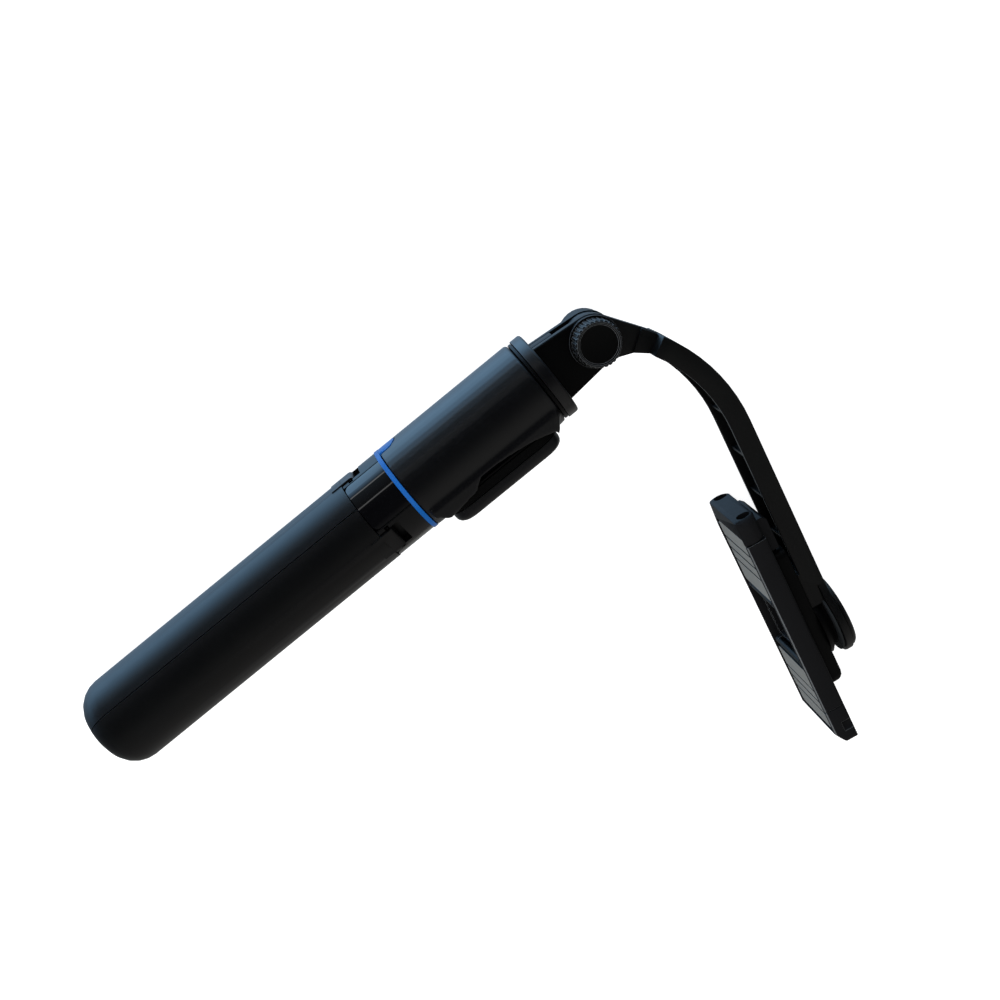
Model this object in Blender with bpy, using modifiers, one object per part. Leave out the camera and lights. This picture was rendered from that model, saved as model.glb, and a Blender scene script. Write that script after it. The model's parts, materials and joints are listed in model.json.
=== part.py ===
"""Folding tripod selfie stick: three legs that close into a grip, a telescopic mast, a swivelling yoke,
a curved arm and a phone clamp with fold-flat flaps.

Stick axes, before the whole stick is set down on its side: X runs up the handle from its bottom end,
Z is the yoke's pivot axis, and the remote faces -Y. Metres."""

import math

import bmesh
import bpy
from mathutils import Matrix, Vector

# ---- fits ---------------------------------------------------------------------------------------------
GAP = 0.0003  # between pieces that touch
RUNNING = 0.0004  # between pieces that slide or turn on each other
PIN_CLEARANCE = 0.00015  # round a hinge pin
TOUCH = 0.00005  # keeps joined faces from coinciding

# ---- resolution ---------------------------------------------------------------------------------------
HANDLE_SEGMENTS = 48
ROUND_SEGMENTS = 32
PIN_SEGMENTS = 12
CORNER_STEPS = 4
ARM_BEND_STEPS = 9
SPRING_POINTS_PER_TURN = 8

# ---- handle -------------------------------------------------------------------------------------------
LEG_RADIUS = 0.0169
LEG_LENGTH = 0.1229
LEG_TIP_ROUNDING = 0.0105
LEG_WALL = 0.0021
LEG_INNER_RADIUS = 0.0114
LEG_RIB = 0.0016
LEG_RIB_COUNT = 6
LEG_END_WALL = 0.0030
LUG_WIDTH = 0.0096
LUG_BOTTOM_RADIUS = 0.0126
LEG_PIN_RADIUS = 0.0008
LEG_PIN_LENGTH = 0.0120
LEG_PIN_HEIGHT = 0.0152  # from the handle's axis
LEG_PIN_STATION = 0.0038  # above the legs' top edge
LUG_CORNER = 0.0015
LUG_DROP = 0.0001  # of the lug's outer face under the hub's
LUG_ROOT = 0.0040  # of the lug into the leg
SLOT_ROOM = 0.0028  # over the lug's end, where it turns
LEG_TOP_WALL = 0.0060
HUB_RADIUS = 0.0167
HUB_HEIGHT = 0.0131
WINDOW_DEPTH = 0.0015
WINDOW_ANGLE = math.radians(72)
TRIM_RADIUS = 0.0170
TRIM_HEIGHT = 0.0024
TRIM_WALL = 0.0030
TAB_WIDTH = 0.0084
TAB_LENGTH = 0.0083
TAB_THICKNESS = 0.0011
TAB_FILLET = 0.0022
GRIP_RADIUS = 0.0169
GRIP_HEIGHT = 0.0589
GRIP_EDGE = 0.0008
HANDLE_TURN = math.radians(-3.6)  # of the handle round its axis, against the head

# ---- mast ---------------------------------------------------------------------------------------------
MAST_RADIUS = 0.0104
MAST_WALL = 0.0005
MAST_SECTIONS = 6
MAST_BOTTOM = 0.0080
MAST_STEP = 0.0020  # each section starts this much above the one outside it
MAST_TOP_DROP = 0.0012  # of the outermost section's top under the grip's top edge
MAST_TOP_STEP = 0.0001
PLUG_LENGTH = 0.0160  # of the innermost section's plug under the neck ring

# ---- head ---------------------------------------------------------------------------------------------
NECK_RADIUS = 0.0163
NECK_HEIGHT = 0.0010
COLLAR_RADIUS = 0.0168
COLLAR_HEIGHT = 0.0042
COLLAR_WALL = 0.0026
COLLAR_ROUNDING = 0.0009
FOOT_DROP = 0.0008  # of the yoke's round foot under the collar's top
PIVOT_HEIGHT = 0.0187  # of the pivot axis above the collar's top
CHEEK_THICKNESS = 0.0030
CHEEK_TIP_RADIUS = 0.0095
CHEEK_BASE_HALF_WIDTH = 0.0116
CHEEK_SLOT_REACH = 0.0100  # of the slot between the cheeks below the pivot
CHEEK_EDGE = 0.0004
CHEEK_LINE = 0.0005  # width and depth of the line that carries the slot down to the collar
TONGUE_THICKNESS = 0.0044
PIVOT_BOLT_RADIUS = 0.0020
KNOB_RADIUS = 0.0084
KNOB_FLANGE_RADIUS = 0.0092
KNOB_FLANGE_HEIGHT = 0.0016
KNOB_HEIGHT = 0.0078
KNOB_RIDGES = 30
KNOB_RIDGE_DEPTH = 0.0005
KNOB_DISH_RADIUS = 0.0068
KNOB_DISH_DEPTH = 0.0005
KNOB_EDGE = 0.0006
NUT_RADIUS = 0.0092
NUT_HEIGHT = 0.0062
NUT_EDGE = 0.0010
SWIVEL_SCREW_RADIUS = 0.0022
SWIVEL_SCREW_HEAD_RADIUS = 0.0040
SWIVEL_SCREW_HEAD_HEIGHT = 0.0018
SCREW_HEAD_SINK = 0.0015  # of the screw head's seat into the yoke's foot

# ---- arm: drawn in a frame at the pivot whose -Y runs along the clamp ---------------------------------
ARM_LEAN = math.radians(-10.95)  # of that frame round the pivot
ARM_BEND = math.radians(45)
ARM_BEND_RADIUS = 0.0660  # of the outer face
ARM_REACH = 0.0372  # from the pivot to the outer face of the straight end
ARM_ROOT_OFFSET = 0.0091  # from the pivot to the outer face of the root
ARM_ROOT_DEPTH = 0.0094
ARM_ROOT_THICKNESS = 0.0080
ARM_ROOT_LENGTH = 0.0220  # along the root's outer face, from the pivot to the channel's shoulder
ARM_ROOT_INSET = 0.0003  # of the thicker root under the tongue's faces
ARM_THICK_LEAD = 0.0006  # of the thicker root's straight part, before the bend
ARM_WIDTH = 0.0210
ARM_DEPTH = 0.0076
ARM_WALL = 0.0017
ARM_RIB = 0.0012
ARM_RIB_DROP = 0.0012  # of a rib's edge under the channel's lip
ARM_RIB_PITCH = 0.0180
ARM_RIB_COUNT = 5
ARM_EDGE = 0.0006
PAD_RADIUS = 0.0160
PAD_THICKNESS = 0.0029
PAD_CENTRE_DROP = 0.1397  # of the end pad's centre below the pivot, along the clamp
PAD_SHOULDER = 0.0012  # from the pad's round edge to the foot of the channel's walls
WALL_SLOPE = 0.0050  # length over which the walls come down to the pad
FLARE_START = 0.0175  # above the pad's centre
FLARE_TURN = 50  # degrees from the arm's middle at which the flare meets the round pad
PAD_COVER_THICKNESS = 0.0016
PAD_COVER_EDGE = 0.0008
PAD_COVER_STEP = 0.0008
PAD_COVER_WALL = 0.0009

# ---- clamp: drawn in a frame on its swivel axis, +X out of its back, +Y towards the jaw ---------------
CLAMP_UP = 0.0578  # from the swivel axis to the jaw's end
CLAMP_DOWN = 0.0446  # from the swivel axis to the lower end
CLAMP_WIDTH = 0.0343
CLAMP_DEPTH = 0.0082
CLAMP_WALL = 0.0016
CLAMP_FLOOR = 0.0015
CLAMP_CORNER = 0.0030
CLAMP_SIDE_ROUNDING = 0.0012
CLAMP_EDGE = 0.0005
JAW_CAP_LENGTH = 0.0100
END_BAR = 0.0068
LOWER_CAP_LENGTH = 0.0165
CAP_FRONT = 0.0102  # of the lower cap's flat front
CAP_TIP = 0.0046  # thickness left at the lower cap's tip
CAP_EDGE = 0.0019
NOTCH_RADIUS = 0.0024
NOTCH_DEPTH = 0.0013
NOTCH_RISE = 0.0078  # above the lower end
FLAP_LENGTH = 0.0309
FLAP_THICKNESS = 0.0015
FLAP_CORNER = 0.0020
FLAP_RIM = 0.0009
PAD_RUBBER_THICKNESS = 0.0011
FLAP_FRONT = 0.0004  # of the rubber pad's face behind the clamp's front face
FLAP_BARREL_RADIUS = 0.00135
FLAP_PIN_RADIUS = 0.0007
FLAP_EAR_WIDTH = 0.0022
EAR_INNER = 0.0110
FLAP_SPACING = 0.0268  # between the two flap hinges, jaw closed
HINGE_MARGIN = 0.0020  # of floor beyond a hinge
PAD_GROOVES = 3
PAD_GROOVE_PITCH = 0.0052
PAD_GROOVE_SHIFT = 0.0020
PAD_GROOVE_WIDTH = 0.0008
PAD_GROOVE_DEPTH = 0.0004
TONGUE_DEPTH = 0.0028
TONGUE_HALF_WIDTH = 0.0134
COVER_HALF_WIDTH = 0.0118
COVER_HEIGHT = 0.0050
COVER_WALL = 0.0011
COVER_TOP = 0.0375  # above the swivel axis
COVER_LENGTH = 0.0600
COVER_ROUNDING = 0.0030
COVER_EDGE = 0.0010
COVER_END_ROUNDING = 0.0047
COVER_END_WALL = 0.0026
CARRIAGE_DROP = 0.0045
CARRIAGE_GAP = 0.0020  # between the jaw's carriage and the back cover
CARRIAGE_HEIGHT = 0.0036
CARRIAGE_SLOPE = 0.0015
OVAL_INSET = 0.0046
OVAL_DEPTH = 0.0047
OVAL_WIDTH = 0.0044
OVAL_HEIGHT = 0.0054
OVAL_SINK = 0.0024
ROD_RADIUS = 0.0008
ROD_SPACING = 0.0150
ROD_SEAT = 0.0080
ROD_HEAD_RADIUS = 0.0014
ROD_HEAD_LENGTH = 0.0012
SPRING_WIRE_RADIUS = 0.00022
SPRING_TURNS = 9
SWIVEL_HUB_RADIUS = 0.0140
SWIVEL_HUB_TOP_RADIUS = 0.0118
SWIVEL_HUB_HEIGHT = 0.0042
HUB_FLOOR = 0.0010
HUB_RIM = 0.0012
SWIVEL_SHAFT_RADIUS = 0.0025
SWIVEL_SHAFT_HEAD_RADIUS = 0.0045
SHAFT_HEAD_HEIGHT = 0.0007
WASHER_THICKNESS = 0.0008
WASHER_RADIUS = 0.0150

# ---- remote -------------------------------------------------------------------------------------------
REMOTE_LENGTH = 0.0461
REMOTE_WIDTH = 0.0284
REMOTE_BOTTOM = 0.0127  # of its base, from the handle's axis
REMOTE_TOP = 0.0205
REMOTE_CORNER = 0.0075
REMOTE_EDGE = 0.0026
REMOTE_BASE_HEIGHT = 0.0030
REMOTE_COVER_TOP_WALL = 0.0012
REMOTE_START = 0.0073  # of its lower end above the grip's lower edge
BUTTON_RADIUS = 0.0072
BUTTON_HEIGHT = 0.0016
BUTTON_PROUD = 0.0004
BUTTON_DISH = 0.0004
BUTTON_RIM = 0.0014
BUTTON_EDGE = 0.0004
BUTTON_STEM_RADIUS = 0.0020
BUTTON_TRAVEL = 0.0008
COIN_CELL_RADIUS = 0.0100
COIN_CELL_HEIGHT = 0.0020
BOARD_THICKNESS = 0.0008
SHELL_WALL = 0.0012
POCKET_LEAN = math.radians(8)  # of its sides, which leave the round grip at a tangent
POCKET_CORNER = 0.0030
POCKET_LOWER_LIP = 0.0150  # of its rims and lips, from the handle's axis
POCKET_UPPER_LIP = 0.0166
POCKET_RIM_START = 0.0136  # of a side rim, where its thumb scoop starts
POCKET_RIM_LOW = 0.0101
POCKET_RIM_END = 0.0147
LIP_FOOT = 0.0120  # of a lip's foot, from the handle's axis
LIP_RAMP = 0.0050  # over which the grip rises to the lower lip
LIP_FALL = 0.0042  # over which the upper lip falls to the grip
SCOOP_START = 0.0112  # above the remote's lower end
SCOOP_DROP = 0.0058  # over which the thumb scoop drops
POCKET_STEPS = 8
DOCK_THICKNESS = 0.0006

# ---- places worked out from the sizes above -----------------------------------------------------------
HUB_BOTTOM = LEG_LENGTH + GAP
HUB_TOP = HUB_BOTTOM + HUB_HEIGHT
TRIM_BOTTOM = HUB_TOP + GAP
TRIM_TOP = TRIM_BOTTOM + TRIM_HEIGHT
GRIP_BOTTOM = TRIM_TOP + GAP
GRIP_TOP = GRIP_BOTTOM + GRIP_HEIGHT
NECK_BOTTOM = GRIP_TOP + GAP
NECK_TOP = NECK_BOTTOM + NECK_HEIGHT
COLLAR_BOTTOM = NECK_TOP + GAP
COLLAR_TOP = COLLAR_BOTTOM + COLLAR_HEIGHT
PIVOT = COLLAR_TOP + PIVOT_HEIGHT
BORE_RADIUS = MAST_RADIUS + GAP
YOKE_HALF = TONGUE_THICKNESS / 2 + GAP + CHEEK_THICKNESS
LEG_HINGE = LEG_LENGTH + LEG_PIN_STATION
REMOTE_BOTTOM_STATION = GRIP_BOTTOM + REMOTE_START
REMOTE_CENTRE = REMOTE_BOTTOM_STATION + REMOTE_LENGTH / 2
SCREW_BORE = SWIVEL_SCREW_RADIUS + GAP
FLAP_HINGE_DEPTH = FLAP_FRONT + FLAP_BARREL_RADIUS
SEAT_DEPTH = FLAP_HINGE_DEPTH + FLAP_BARREL_RADIUS + GAP  # of the floor behind the flaps
EAR_OUTER = EAR_INNER + FLAP_EAR_WIDTH
WASHER_BOTTOM = ARM_REACH - PAD_THICKNESS - GAP - WASHER_THICKNESS  # from the pivot, as the next three
HUB_SEAT = WASHER_BOTTOM - GAP - SWIVEL_HUB_HEIGHT
CLAMP_BACK = HUB_SEAT - GAP - COVER_HEIGHT - GAP
CLAMP_FACE_REACH = CLAMP_BACK - CLAMP_DEPTH
UPPER_HINGE = CLAMP_UP - END_BAR - 2 * GAP - FLAP_LENGTH
LOWER_HINGE = UPPER_HINGE - FLAP_SPACING
ROD_DEPTH = CLAMP_DEPTH + (GAP + COVER_HEIGHT - COVER_WALL) / 2

FACING_X = (0, math.pi / 2, 0)  # turns a local Z axis to X
FACING_MINUS_Y = (math.pi / 2, 0, 0)  # turns a local Z axis to -Y, and Y to Z
FACING_PLUS_Y = (-math.pi / 2, 0, 0)  # turns a local Z axis to +Y
FROM_STICK = (0, -math.pi / 2, 0)  # turns a shape drawn in stick axes into the handle's frame
TOWARDS_REMOTE = (math.pi / 2, -math.pi / 2, 0)  # turns X up the handle and Z towards the remote
ALONG_PLUS_Y = (-math.pi / 2, -math.pi / 2, 0)  # turns X up the handle and Z away from the remote
PLAN_ALONG_Y = (math.pi / 2, 0, math.pi / 2)  # turns X to Y, Y to Z and Z to X
FAR = 0.100  # a cutter's reach past what it cuts


# ---- scene and helpers --------------------------------------------------------------------------------
def clear_scene():
    for item in list(bpy.data.objects):
        bpy.data.objects.remove(item)
    for group in list(bpy.data.collections):
        bpy.data.collections.remove(group)


clear_scene()
PARTS = bpy.data.collections.new("selfie_stick")
CUTTERS = bpy.data.collections.new("cutters")
bpy.context.scene.collection.children.link(PARTS)
bpy.context.scene.collection.children.link(CUTTERS)
CUTTERS.hide_render = True


def material(name, colour, roughness, metallic=0.0):
    made = bpy.data.materials.new(name)
    made.use_nodes = True
    shader = made.node_tree.nodes["Principled BSDF"]
    shader.inputs["Base Color"].default_value = (*colour, 1)
    shader.inputs["Roughness"].default_value = roughness
    shader.inputs["Metallic"].default_value = metallic
    return made


SOFT_BLACK = material("soft_touch_black", (0.012, 0.013, 0.014), 0.55)
MATTE_BLACK = material("matte_black_plastic", (0.010, 0.010, 0.011), 0.45)
GLOSS_BLACK = material("gloss_black_plastic", (0.006, 0.006, 0.007), 0.10)
BLUE = material("blue_plastic", (0.010, 0.120, 0.360), 0.35)
GREY_RUBBER = material("grey_rubber", (0.110, 0.120, 0.125), 0.70)
STEEL = material("polished_steel", (0.620, 0.620, 0.630), 0.22, 1.0)
SPRING_STEEL = material("spring_steel", (0.420, 0.420, 0.430), 0.35, 1.0)
BOARD_GREEN = material("circuit_board", (0.020, 0.120, 0.040), 0.50)


def empty(name, parent=None, location=(0, 0, 0), rotation=(0, 0, 0)):
    made = bpy.data.objects.new(name, None)
    made.location = location
    made.rotation_euler = rotation
    made.parent = parent
    PARTS.objects.link(made)
    return made


def place(item, parent=None, location=(0, 0, 0), rotation=(0, 0, 0)):
    item.parent = parent
    item.location = location
    item.rotation_euler = rotation
    return item


def finish(item, finish_material, parent=None, location=(0, 0, 0), rotation=(0, 0, 0)):
    """Makes an object one of the stick's named pieces."""
    CUTTERS.objects.unlink(item)
    PARTS.objects.link(item)
    item.hide_render = False
    item.display_type = "TEXTURED"
    item.data.materials.clear()
    item.data.materials.append(finish_material)
    item.data.shade_smooth()
    item.data.set_sharp_from_angle(angle=math.radians(35))
    return place(item, parent, location, rotation)


def mesh_object(name, bm):
    """Every shape starts among the cutters; finish() moves the pieces out."""
    mesh = bpy.data.meshes.new(name)
    bm.to_mesh(mesh)
    bm.free()
    made = bpy.data.objects.new(name, mesh)
    CUTTERS.objects.link(made)
    made.hide_render = True
    made.display_type = "WIRE"
    return made


def box(name, low, high):
    bm = bmesh.new()
    bmesh.ops.create_cube(bm, size=1)
    low, high = Vector(low), Vector(high)
    bmesh.ops.scale(bm, vec=high - low, verts=bm.verts)
    bmesh.ops.translate(bm, vec=(low + high) / 2, verts=bm.verts)
    return mesh_object(name, bm)


def rod(name, radius, bottom, top, segments=ROUND_SEGMENTS, top_radius=None):
    """A cylinder or cone along local Z."""
    bm = bmesh.new()
    bmesh.ops.create_cone(
        bm, cap_ends=True, segments=segments, radius1=radius,
        radius2=radius if top_radius is None else top_radius, depth=top - bottom,
    )
    bmesh.ops.translate(bm, vec=(0, 0, (bottom + top) / 2), verts=bm.verts)
    return mesh_object(name, bm)


def turned(name, profile, segments=ROUND_SEGMENTS, repeats=(0,)):
    """Revolves (radius, height) points, which run down the outer side, round local Z. The profile closes
    on the axis, or on itself where no point lies on the axis. It is drawn again at each height in
    repeats."""
    bm = bmesh.new()
    for rise in repeats:
        points = [bm.verts.new((radius, 0, height + rise)) for radius, height in profile]
        for a, b in zip(points, points[1:]):
            bm.edges.new((a, b))
        if min(radius for radius, _ in profile) > 0:
            bm.edges.new((points[-1], points[0]))
    made = mesh_object(name, bm)
    screw = made.modifiers.new("turn", "SCREW")
    screw.steps = segments
    screw.render_steps = segments
    screw.use_merge_vertices = True
    screw.merge_threshold = 1e-6
    return made


def tube(name, outer, inner, bottom, top, segments=ROUND_SEGMENTS, repeats=(0,)):
    profile = [(outer, top), (outer, bottom), (inner, bottom), (inner, top)]
    return turned(name, profile, segments, repeats)


def plate(name, outline, bottom, top, holes=()):
    """A flat outline in local XY, extruded along Z from bottom to top, made a mesh."""
    curve = bpy.data.curves.new(name, "CURVE")
    curve.dimensions = "2D"
    curve.fill_mode = "BOTH"
    curve.extrude = (top - bottom) / 2
    for ring in (outline, *holes):
        spline = curve.splines.new("POLY")
        spline.points.add(len(ring) - 1)
        for point, (x, y) in zip(spline.points, ring):
            point.co = (x, y, 0, 1)
        spline.use_cyclic_u = True
    drawn = bpy.data.objects.new(name, curve)
    CUTTERS.objects.link(drawn)
    bpy.context.view_layer.update()
    graph = bpy.context.evaluated_depsgraph_get()
    mesh = bpy.data.meshes.new_from_object(drawn.evaluated_get(graph))
    bpy.data.objects.remove(drawn)
    bpy.data.curves.remove(curve)
    bm = bmesh.new()
    bm.from_mesh(mesh)
    bpy.data.meshes.remove(mesh)
    bmesh.ops.remove_doubles(bm, verts=bm.verts, dist=1e-7)
    bmesh.ops.dissolve_limit(bm, angle_limit=math.radians(0.5), verts=bm.verts, edges=bm.edges)
    bmesh.ops.recalc_face_normals(bm, faces=bm.faces)
    bmesh.ops.translate(bm, vec=(0, 0, (bottom + top) / 2), verts=bm.verts)
    return mesh_object(name, bm)


def arc(centre, radius, start, end, steps):
    """Points of a circular arc, ends included, from start to end in degrees."""
    turns = [math.radians(start + (end - start) * step / steps) for step in range(steps + 1)]
    return [(centre[0] + radius * math.cos(turn), centre[1] + radius * math.sin(turn)) for turn in turns]


def smooth_step(first, last, start, end):
    """Points of an S-shaped run from one height to another between two stations, ends included."""
    shares = [step / POCKET_STEPS for step in range(POCKET_STEPS + 1)]
    return [
        (first + (last - first) * (1 - math.cos(math.pi * share)) / 2, start + (end - start) * share)
        for share in shares
    ]


def rounded_box(x0, x1, y0, y1, radius, steps=CORNER_STEPS):
    """A rectangle's outline with round corners, anticlockwise."""
    return (
        arc((x1 - radius, y0 + radius), radius, -90, 0, steps)
        + arc((x1 - radius, y1 - radius), radius, 0, 90, steps)
        + arc((x0 + radius, y1 - radius), radius, 90, 180, steps)
        + arc((x0 + radius, y0 + radius), radius, 180, 270, steps)
    )


def combine(item, other, operation):
    modifier = item.modifiers.new(f"{operation.lower()}_{other.name}", "BOOLEAN")
    modifier.operation = operation
    modifier.solver = "EXACT"
    modifier.object = other
    if other.parent is None:
        other.parent = item
    return item


def cut(item, *others):
    for other in others:
        combine(item, other, "DIFFERENCE")
    return item


def add(item, *others):
    for other in others:
        combine(item, other, "UNION")
    return item


def common(item, *others):
    for other in others:
        combine(item, other, "INTERSECT")
    return item


def bevel(item, width, segments=2, angle=40):
    modifier = item.modifiers.new("edges", "BEVEL")
    modifier.width = width
    modifier.segments = segments
    modifier.limit_method = "ANGLE"
    modifier.angle_limit = math.radians(angle)
    modifier.use_clamp_overlap = True
    return item


def wedge(name, half_angle, inset, bottom, top):
    """A sector round local Z, centred on local X, whose flat sides stand back by inset."""
    tip = inset / math.sin(half_angle)
    reach = (FAR * math.cos(half_angle), FAR * math.sin(half_angle))
    outline = [(tip, 0), (tip + reach[0], -reach[1]), (tip + FAR, 0), (tip + reach[0], reach[1])]
    return plate(name, outline, bottom, top)


def bake(item):
    """Turns an object and its modifiers into one plain mesh, for pieces that are repeated."""
    bpy.context.view_layer.update()
    graph = bpy.context.evaluated_depsgraph_get()
    mesh = bpy.data.meshes.new_from_object(item.evaluated_get(graph))
    made = bpy.data.objects.new(item.name, mesh)
    item.name = f"{item.name}_source"
    made.name = item.name.removesuffix("_source")
    CUTTERS.objects.link(made)
    made.hide_render = True
    made.display_type = "WIRE"
    return made


def bake_placed(item):
    """Puts an object's own location and rotation into its mesh."""
    item.data.transform(item.matrix_basis)
    item.location = (0, 0, 0)
    item.rotation_euler = (0, 0, 0)
    return item


def copy_of(item, name):
    """Another object on the same mesh."""
    made = bpy.data.objects.new(name, item.data)
    CUTTERS.objects.link(made)
    return made


# ---- handle: local Z runs up the handle, local -Y is the remote's side ---------------------------------
def leg_shape():
    """One leg, centred on local +X: a sector of the round grip, hollow and ribbed towards the mast."""
    corner = arc((LEG_RADIUS - LEG_TIP_ROUNDING, LEG_TIP_ROUNDING), LEG_TIP_ROUNDING, 0, -90, 6)
    profile = [
        (0, LEG_END_WALL),
        (LEG_INNER_RADIUS, LEG_END_WALL),
        (LEG_INNER_RADIUS, LEG_LENGTH),
        (LEG_RADIUS, LEG_LENGTH),
        *corner,
        (0, 0),
    ]
    leg = turned("leg", profile, HANDLE_SEGMENTS)
    common(leg, wedge("leg_sector", math.radians(60), GAP / 2, -FAR, FAR * 2))

    hollow_bottom = LEG_TIP_ROUNDING
    hollow_top = LEG_LENGTH - LEG_TOP_WALL
    pitch = (hollow_top - hollow_bottom + LEG_RIB) / (LEG_RIB_COUNT + 1)
    hollow = tube(
        "leg_hollow", LEG_RADIUS - LEG_WALL, LEG_INNER_RADIUS - LEG_WALL,
        hollow_bottom, hollow_bottom + pitch - LEG_RIB,
        HANDLE_SEGMENTS, [pitch * cell for cell in range(LEG_RIB_COUNT + 1)],
    )
    common(hollow, wedge("leg_hollow_sector", math.radians(60), LEG_RIB, -FAR, FAR * 2))
    cut(leg, hollow)

    outside = HUB_RADIUS - LUG_DROP
    outline = [
        (LUG_BOTTOM_RADIUS, LEG_LENGTH - LUG_ROOT),
        (outside, LEG_LENGTH - LUG_ROOT),
        *arc((outside - LUG_CORNER, LEG_HINGE), LUG_CORNER, 0, 90, CORNER_STEPS),
        *arc((LUG_BOTTOM_RADIUS + LUG_CORNER, LEG_HINGE), LUG_CORNER, 90, 180, CORNER_STEPS),
    ]
    lug = plate("leg_lug", outline, -LUG_WIDTH / 2, LUG_WIDTH / 2)
    add(leg, place(lug, rotation=(math.pi / 2, 0, 0)))
    bore = rod("leg_bore", LEG_PIN_RADIUS + PIN_CLEARANCE, -LUG_WIDTH, LUG_WIDTH, PIN_SEGMENTS)
    cut(leg, place(bore, location=(LEG_PIN_HEIGHT, 0, LEG_HINGE), rotation=(math.pi / 2, 0, 0)))
    return bake(leg)


def leg_direction(number):
    """Turn round the handle of a leg; the hub's windows lie half-way between two of them."""
    return math.radians(90 + 120 * number)


def make_legs(handle):
    shape = leg_shape()
    pin_shape = rod("leg_pin", LEG_PIN_RADIUS, -LEG_PIN_LENGTH / 2, LEG_PIN_LENGTH / 2, PIN_SEGMENTS)
    for number in range(3):
        turn = empty(f"leg_{number + 1}_direction", handle, rotation=(0, 0, leg_direction(number)))
        hinge = empty(f"leg_{number + 1}_hinge", turn, (LEG_PIN_HEIGHT, 0, LEG_HINGE))
        leg = copy_of(shape, f"leg_{number + 1}")
        finish(leg, SOFT_BLACK, hinge, location=(-LEG_PIN_HEIGHT, 0, -LEG_HINGE))
        pin = copy_of(pin_shape, f"leg_pin_{number + 1}")
        finish(pin, STEEL, hinge, rotation=(math.pi / 2, 0, 0))


def make_hub(handle):
    hub = tube("leg_hub", HUB_RADIUS, BORE_RADIUS, HUB_BOTTOM, HUB_TOP, HANDLE_SEGMENTS)
    inside = HUB_RADIUS - WINDOW_DEPTH
    window = tube("hub_window", HUB_RADIUS, inside, HUB_BOTTOM, HUB_TOP, HANDLE_SEGMENTS)
    common(window, wedge("window_sector", WINDOW_ANGLE / 2, GAP, 0, FAR * 2))
    window = bake(window)
    recess = tube("window_recess", FAR, inside - GAP, HUB_BOTTOM - FAR, HUB_TOP + FAR, HANDLE_SEGMENTS)
    common(recess, wedge("recess_sector", WINDOW_ANGLE / 2, TOUCH, -FAR, FAR * 3))
    recess = bake(recess)
    slot_half = LUG_WIDTH / 2 + RUNNING
    slot_top = LEG_HINGE + LUG_CORNER + SLOT_ROOM
    bore_half = LEG_PIN_LENGTH / 2 + GAP
    for number in range(3):
        turn = leg_direction(number)
        corner = (LUG_BOTTOM_RADIUS - RUNNING, -slot_half, 0)
        cut(hub, place(box(f"lug_slot_{number}", corner, (FAR, slot_half, slot_top)), rotation=(0, 0, turn)))
        bore = rod(f"pin_bore_{number}", LEG_PIN_RADIUS + PIN_CLEARANCE, -bore_half, bore_half, PIN_SEGMENTS)
        seat = empty(f"pin_seat_{number}", hub, rotation=(0, 0, turn))
        cut(hub, place(bore, seat, (LEG_PIN_HEIGHT, 0, LEG_HINGE), (math.pi / 2, 0, 0)))
        between = turn + math.radians(60)
        cut(hub, place(copy_of(recess, f"window_recess_{number}"), rotation=(0, 0, between)))
        pane = copy_of(window, f"hub_window_{number + 1}")
        finish(pane, GLOSS_BLACK, handle, rotation=(0, 0, between))
    finish(hub, SOFT_BLACK, handle)


def tab_shape(name, inner, outer, grow):
    """The trim ring's tab up the grip on local +Y, between two radii, with grow all round its outline."""
    half = TAB_WIDTH / 2 + grow
    tip = TRIM_TOP + TAB_LENGTH + grow
    start = TRIM_TOP - TRIM_HEIGHT / 2
    root = TAB_WIDTH / 2 + TAB_FILLET
    outline = [
        (start, -root),
        *arc((TRIM_TOP + TAB_FILLET, -root), TAB_FILLET - grow, 180, 90, CORNER_STEPS),
        *arc((tip - half, 0), half, -90, 90, 2 * CORNER_STEPS),
        *arc((TRIM_TOP + TAB_FILLET, root), TAB_FILLET - grow, 270, 180, CORNER_STEPS),
        (start, root),
    ]
    shape = tube(name, outer, inner, TRIM_BOTTOM, tip + FAR, HANDLE_SEGMENTS)
    return common(shape, place(plate(f"{name}_outline", outline, 0, FAR * 2), rotation=ALONG_PLUS_Y))


def make_trim(handle):
    ring = tube("trim_ring", TRIM_RADIUS, TRIM_RADIUS - TRIM_WALL, TRIM_BOTTOM, TRIM_TOP, HANDLE_SEGMENTS)
    add(ring, tab_shape("tab", GRIP_RADIUS - TAB_THICKNESS, GRIP_RADIUS, 0))
    finish(ring, BLUE, handle)


def remote_plan(name, low, high, grow):
    """The remote's plan outline between two distances from the handle's axis, towards local -Y."""
    outline = rounded_box(
        REMOTE_CENTRE - REMOTE_LENGTH / 2 - grow, REMOTE_CENTRE + REMOTE_LENGTH / 2 + grow,
        -REMOTE_WIDTH / 2 - grow, REMOTE_WIDTH / 2 + grow, REMOTE_CORNER + grow, 2 * CORNER_STEPS,
    )
    return plate(name, outline, low, high)


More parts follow.
